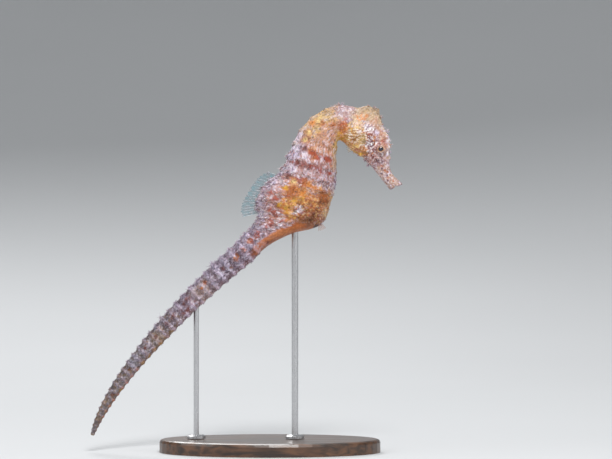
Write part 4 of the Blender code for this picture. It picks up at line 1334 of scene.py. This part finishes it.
# Fin finishes: the two colours that cloud into each other, how finely, and how opaque they are.
# Membranes are thin, milky, almost clear skin, and rays are bony, banded pale and dull
FIN_LOOKS = {
    "membrane_teal": ("teal", "slate", 700.0, 0.28),
    "membrane_pale": ("sand", "cream", 700.0, 0.05),
    "membrane_warm": ("salmon", "rust", 700.0, 0.08),
    "ray_teal": ("teal", "white", 700.0, 1.0),
    "ray_pale": ("olive", "cream", 350.0, 1.0),
    "ray_warm": ("umber", "rust", 350.0, 1.0),
}


@functools.cache
def fin_material(name):
    """A finish that clouds between two colours of the palette, as FIN_LOOKS says."""
    first, second, scale, alpha = FIN_LOOKS[name]
    made = Finish(name, roughness=0.35, alpha=alpha)
    made.cloud(made.noise(scale, 3.0), (linear(first), linear(second)), (0.35, 0.62))
    return made.material


# Stand --------------------------------------------------------------------------------------------


def finish_stand():
    """Dark stained wood for the base and brushed steel for the rods, on the frame's own solids."""
    wood = Finish("stand_wood", coat_weight=0.4, coat_roughness=0.15)
    grain = wood.noise(55.0, 8.0, 0.6, (1.0, 9.0, 9.0))
    wood.cloud(grain, ((0.022, 0.010, 0.005), (0.115, 0.050, 0.022)), (0.36, 0.66))
    wood.roughen(grain, 0.28, 0.5)
    steel = Finish("stand_steel", metallic=1.0)
    brushed = steel.noise(6000.0, 2.0, 0.0, (1.0, 1.0, 0.05))
    steel.cloud(brushed, ((0.45, 0.45, 0.46), (0.68, 0.68, 0.69)))
    steel.roughen(brushed, 0.2, 0.36)
    nodes = (("stand_base", wood), ("stand_rod_trunk", steel), ("stand_rod_tail", steel))
    for node, finish in nodes:
        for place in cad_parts[node].material_slots:
            place.material = finish.material


# Studio -------------------------------------------------------------------------------------------

VIEW_MIDDLE, VIEW_DISTANCE, VIEW_WIDTH, SENSOR = (13.7, 84.6), 1000.0, 232.6, 36.0


def add_camera():
    """A long lens that looks along +Y at the animal's right side, level with its middle."""
    made = bpy.data.cameras.new("camera")
    made.sensor_width = SENSOR
    made.lens = SENSOR * VIEW_DISTANCE / VIEW_WIDTH
    made.clip_start, made.clip_end = 0.01, 20
    camera = add_to_scene("camera", made)
    camera.location = Vector((VIEW_MIDDLE[0], -VIEW_DISTANCE, VIEW_MIDDLE[1])) * MM
    camera.rotation_euler = (math.radians(90), 0, 0)
    bpy.context.scene.camera = camera


# Soft lights, in metres and watts: place, energy and size
LIGHT_TARGET = (0.0, 0.0, 0.08)
LIGHTS = {
    "key": ((0.15, -0.80, 0.90), 12.0, 0.35),
    "fill": ((0.8, -0.6, 0.35), 1.2, 0.7),
    "side": ((-0.8, -0.4, 0.5), 2.5, 0.6),
    "rim": ((-0.2, 0.8, 0.8), 6.0, 0.5),
}
WORLD_COLOUR, WORLD_STRENGTH = (0.80, 0.82, 0.84, 1), 0.5
FLOOR_COLOURS = (0.55, 0.56, 0.57), (0.59, 0.60, 0.61)
FLOOR_HALF, DISH_START, DISH_HEIGHT, FLOOR_ROWS, FLOOR_AROUND = 4.0, 0.5, 2.5, 60, 96


def add_studio():
    """A pale floor that curves up on all sides like a dish, soft lights and a pale world."""
    mesh = bpy.data.meshes.new("floor")
    reach = np.linspace(0, FLOOR_HALF, FLOOR_ROWS)
    rise = DISH_HEIGHT * (np.clip(reach - DISH_START, 0, None) / (FLOOR_HALF - DISH_START)) ** 2
    turns = np.linspace(0, 2 * np.pi, FLOOR_AROUND, endpoint=False)
    verts = [
        (r * math.cos(a), r * math.sin(a), z) for r, z in zip(reach[1:], rise[1:]) for a in turns
    ]
    faces = [face[::-1] for face in tube_faces(FLOOR_ROWS - 1, FLOOR_AROUND)]
    faces.append(tuple(range(FLOOR_AROUND)))
    mesh.from_pydata(verts, [], faces)
    mesh.shade_smooth()
    finish = Finish("floor_finish", roughness=0.85)
    finish.cloud(finish.noise(3.0, 2.0), FLOOR_COLOURS)
    mesh.materials.append(finish.material)
    floor = add_to_scene("floor", mesh)

    for name, (place, energy, size) in LIGHTS.items():
        made = bpy.data.lights.new(name, "AREA")
        made.energy, made.size = energy, size
        lamp = add_to_scene(name, made)
        lamp.location = place
        way = Vector(LIGHT_TARGET) - lamp.location
        lamp.rotation_euler = way.to_track_quat("-Z", "Y").to_euler()
    bpy.context.scene.view_settings.view_transform = "Standard"
    world = bpy.data.worlds.new("studio")
    world.use_nodes = True
    set_inputs(world.node_tree.nodes["Background"], color=WORLD_COLOUR, strength=WORLD_STRENGTH)
    bpy.context.scene.world = world


def main():
    add_camera()
    add_studio()
    skin = Skin()
    make_skin(skin)
    rng = np.random.default_rng(COAT_SEED)
    for coat in FUZZ:
        make_fuzz(skin, rng, *coat)
    make_bristles(skin, rng)
    make_filaments(skin, rng)
    make_eyes()
    make_lids(skin)
    make_fins()
    finish_stand()


main()
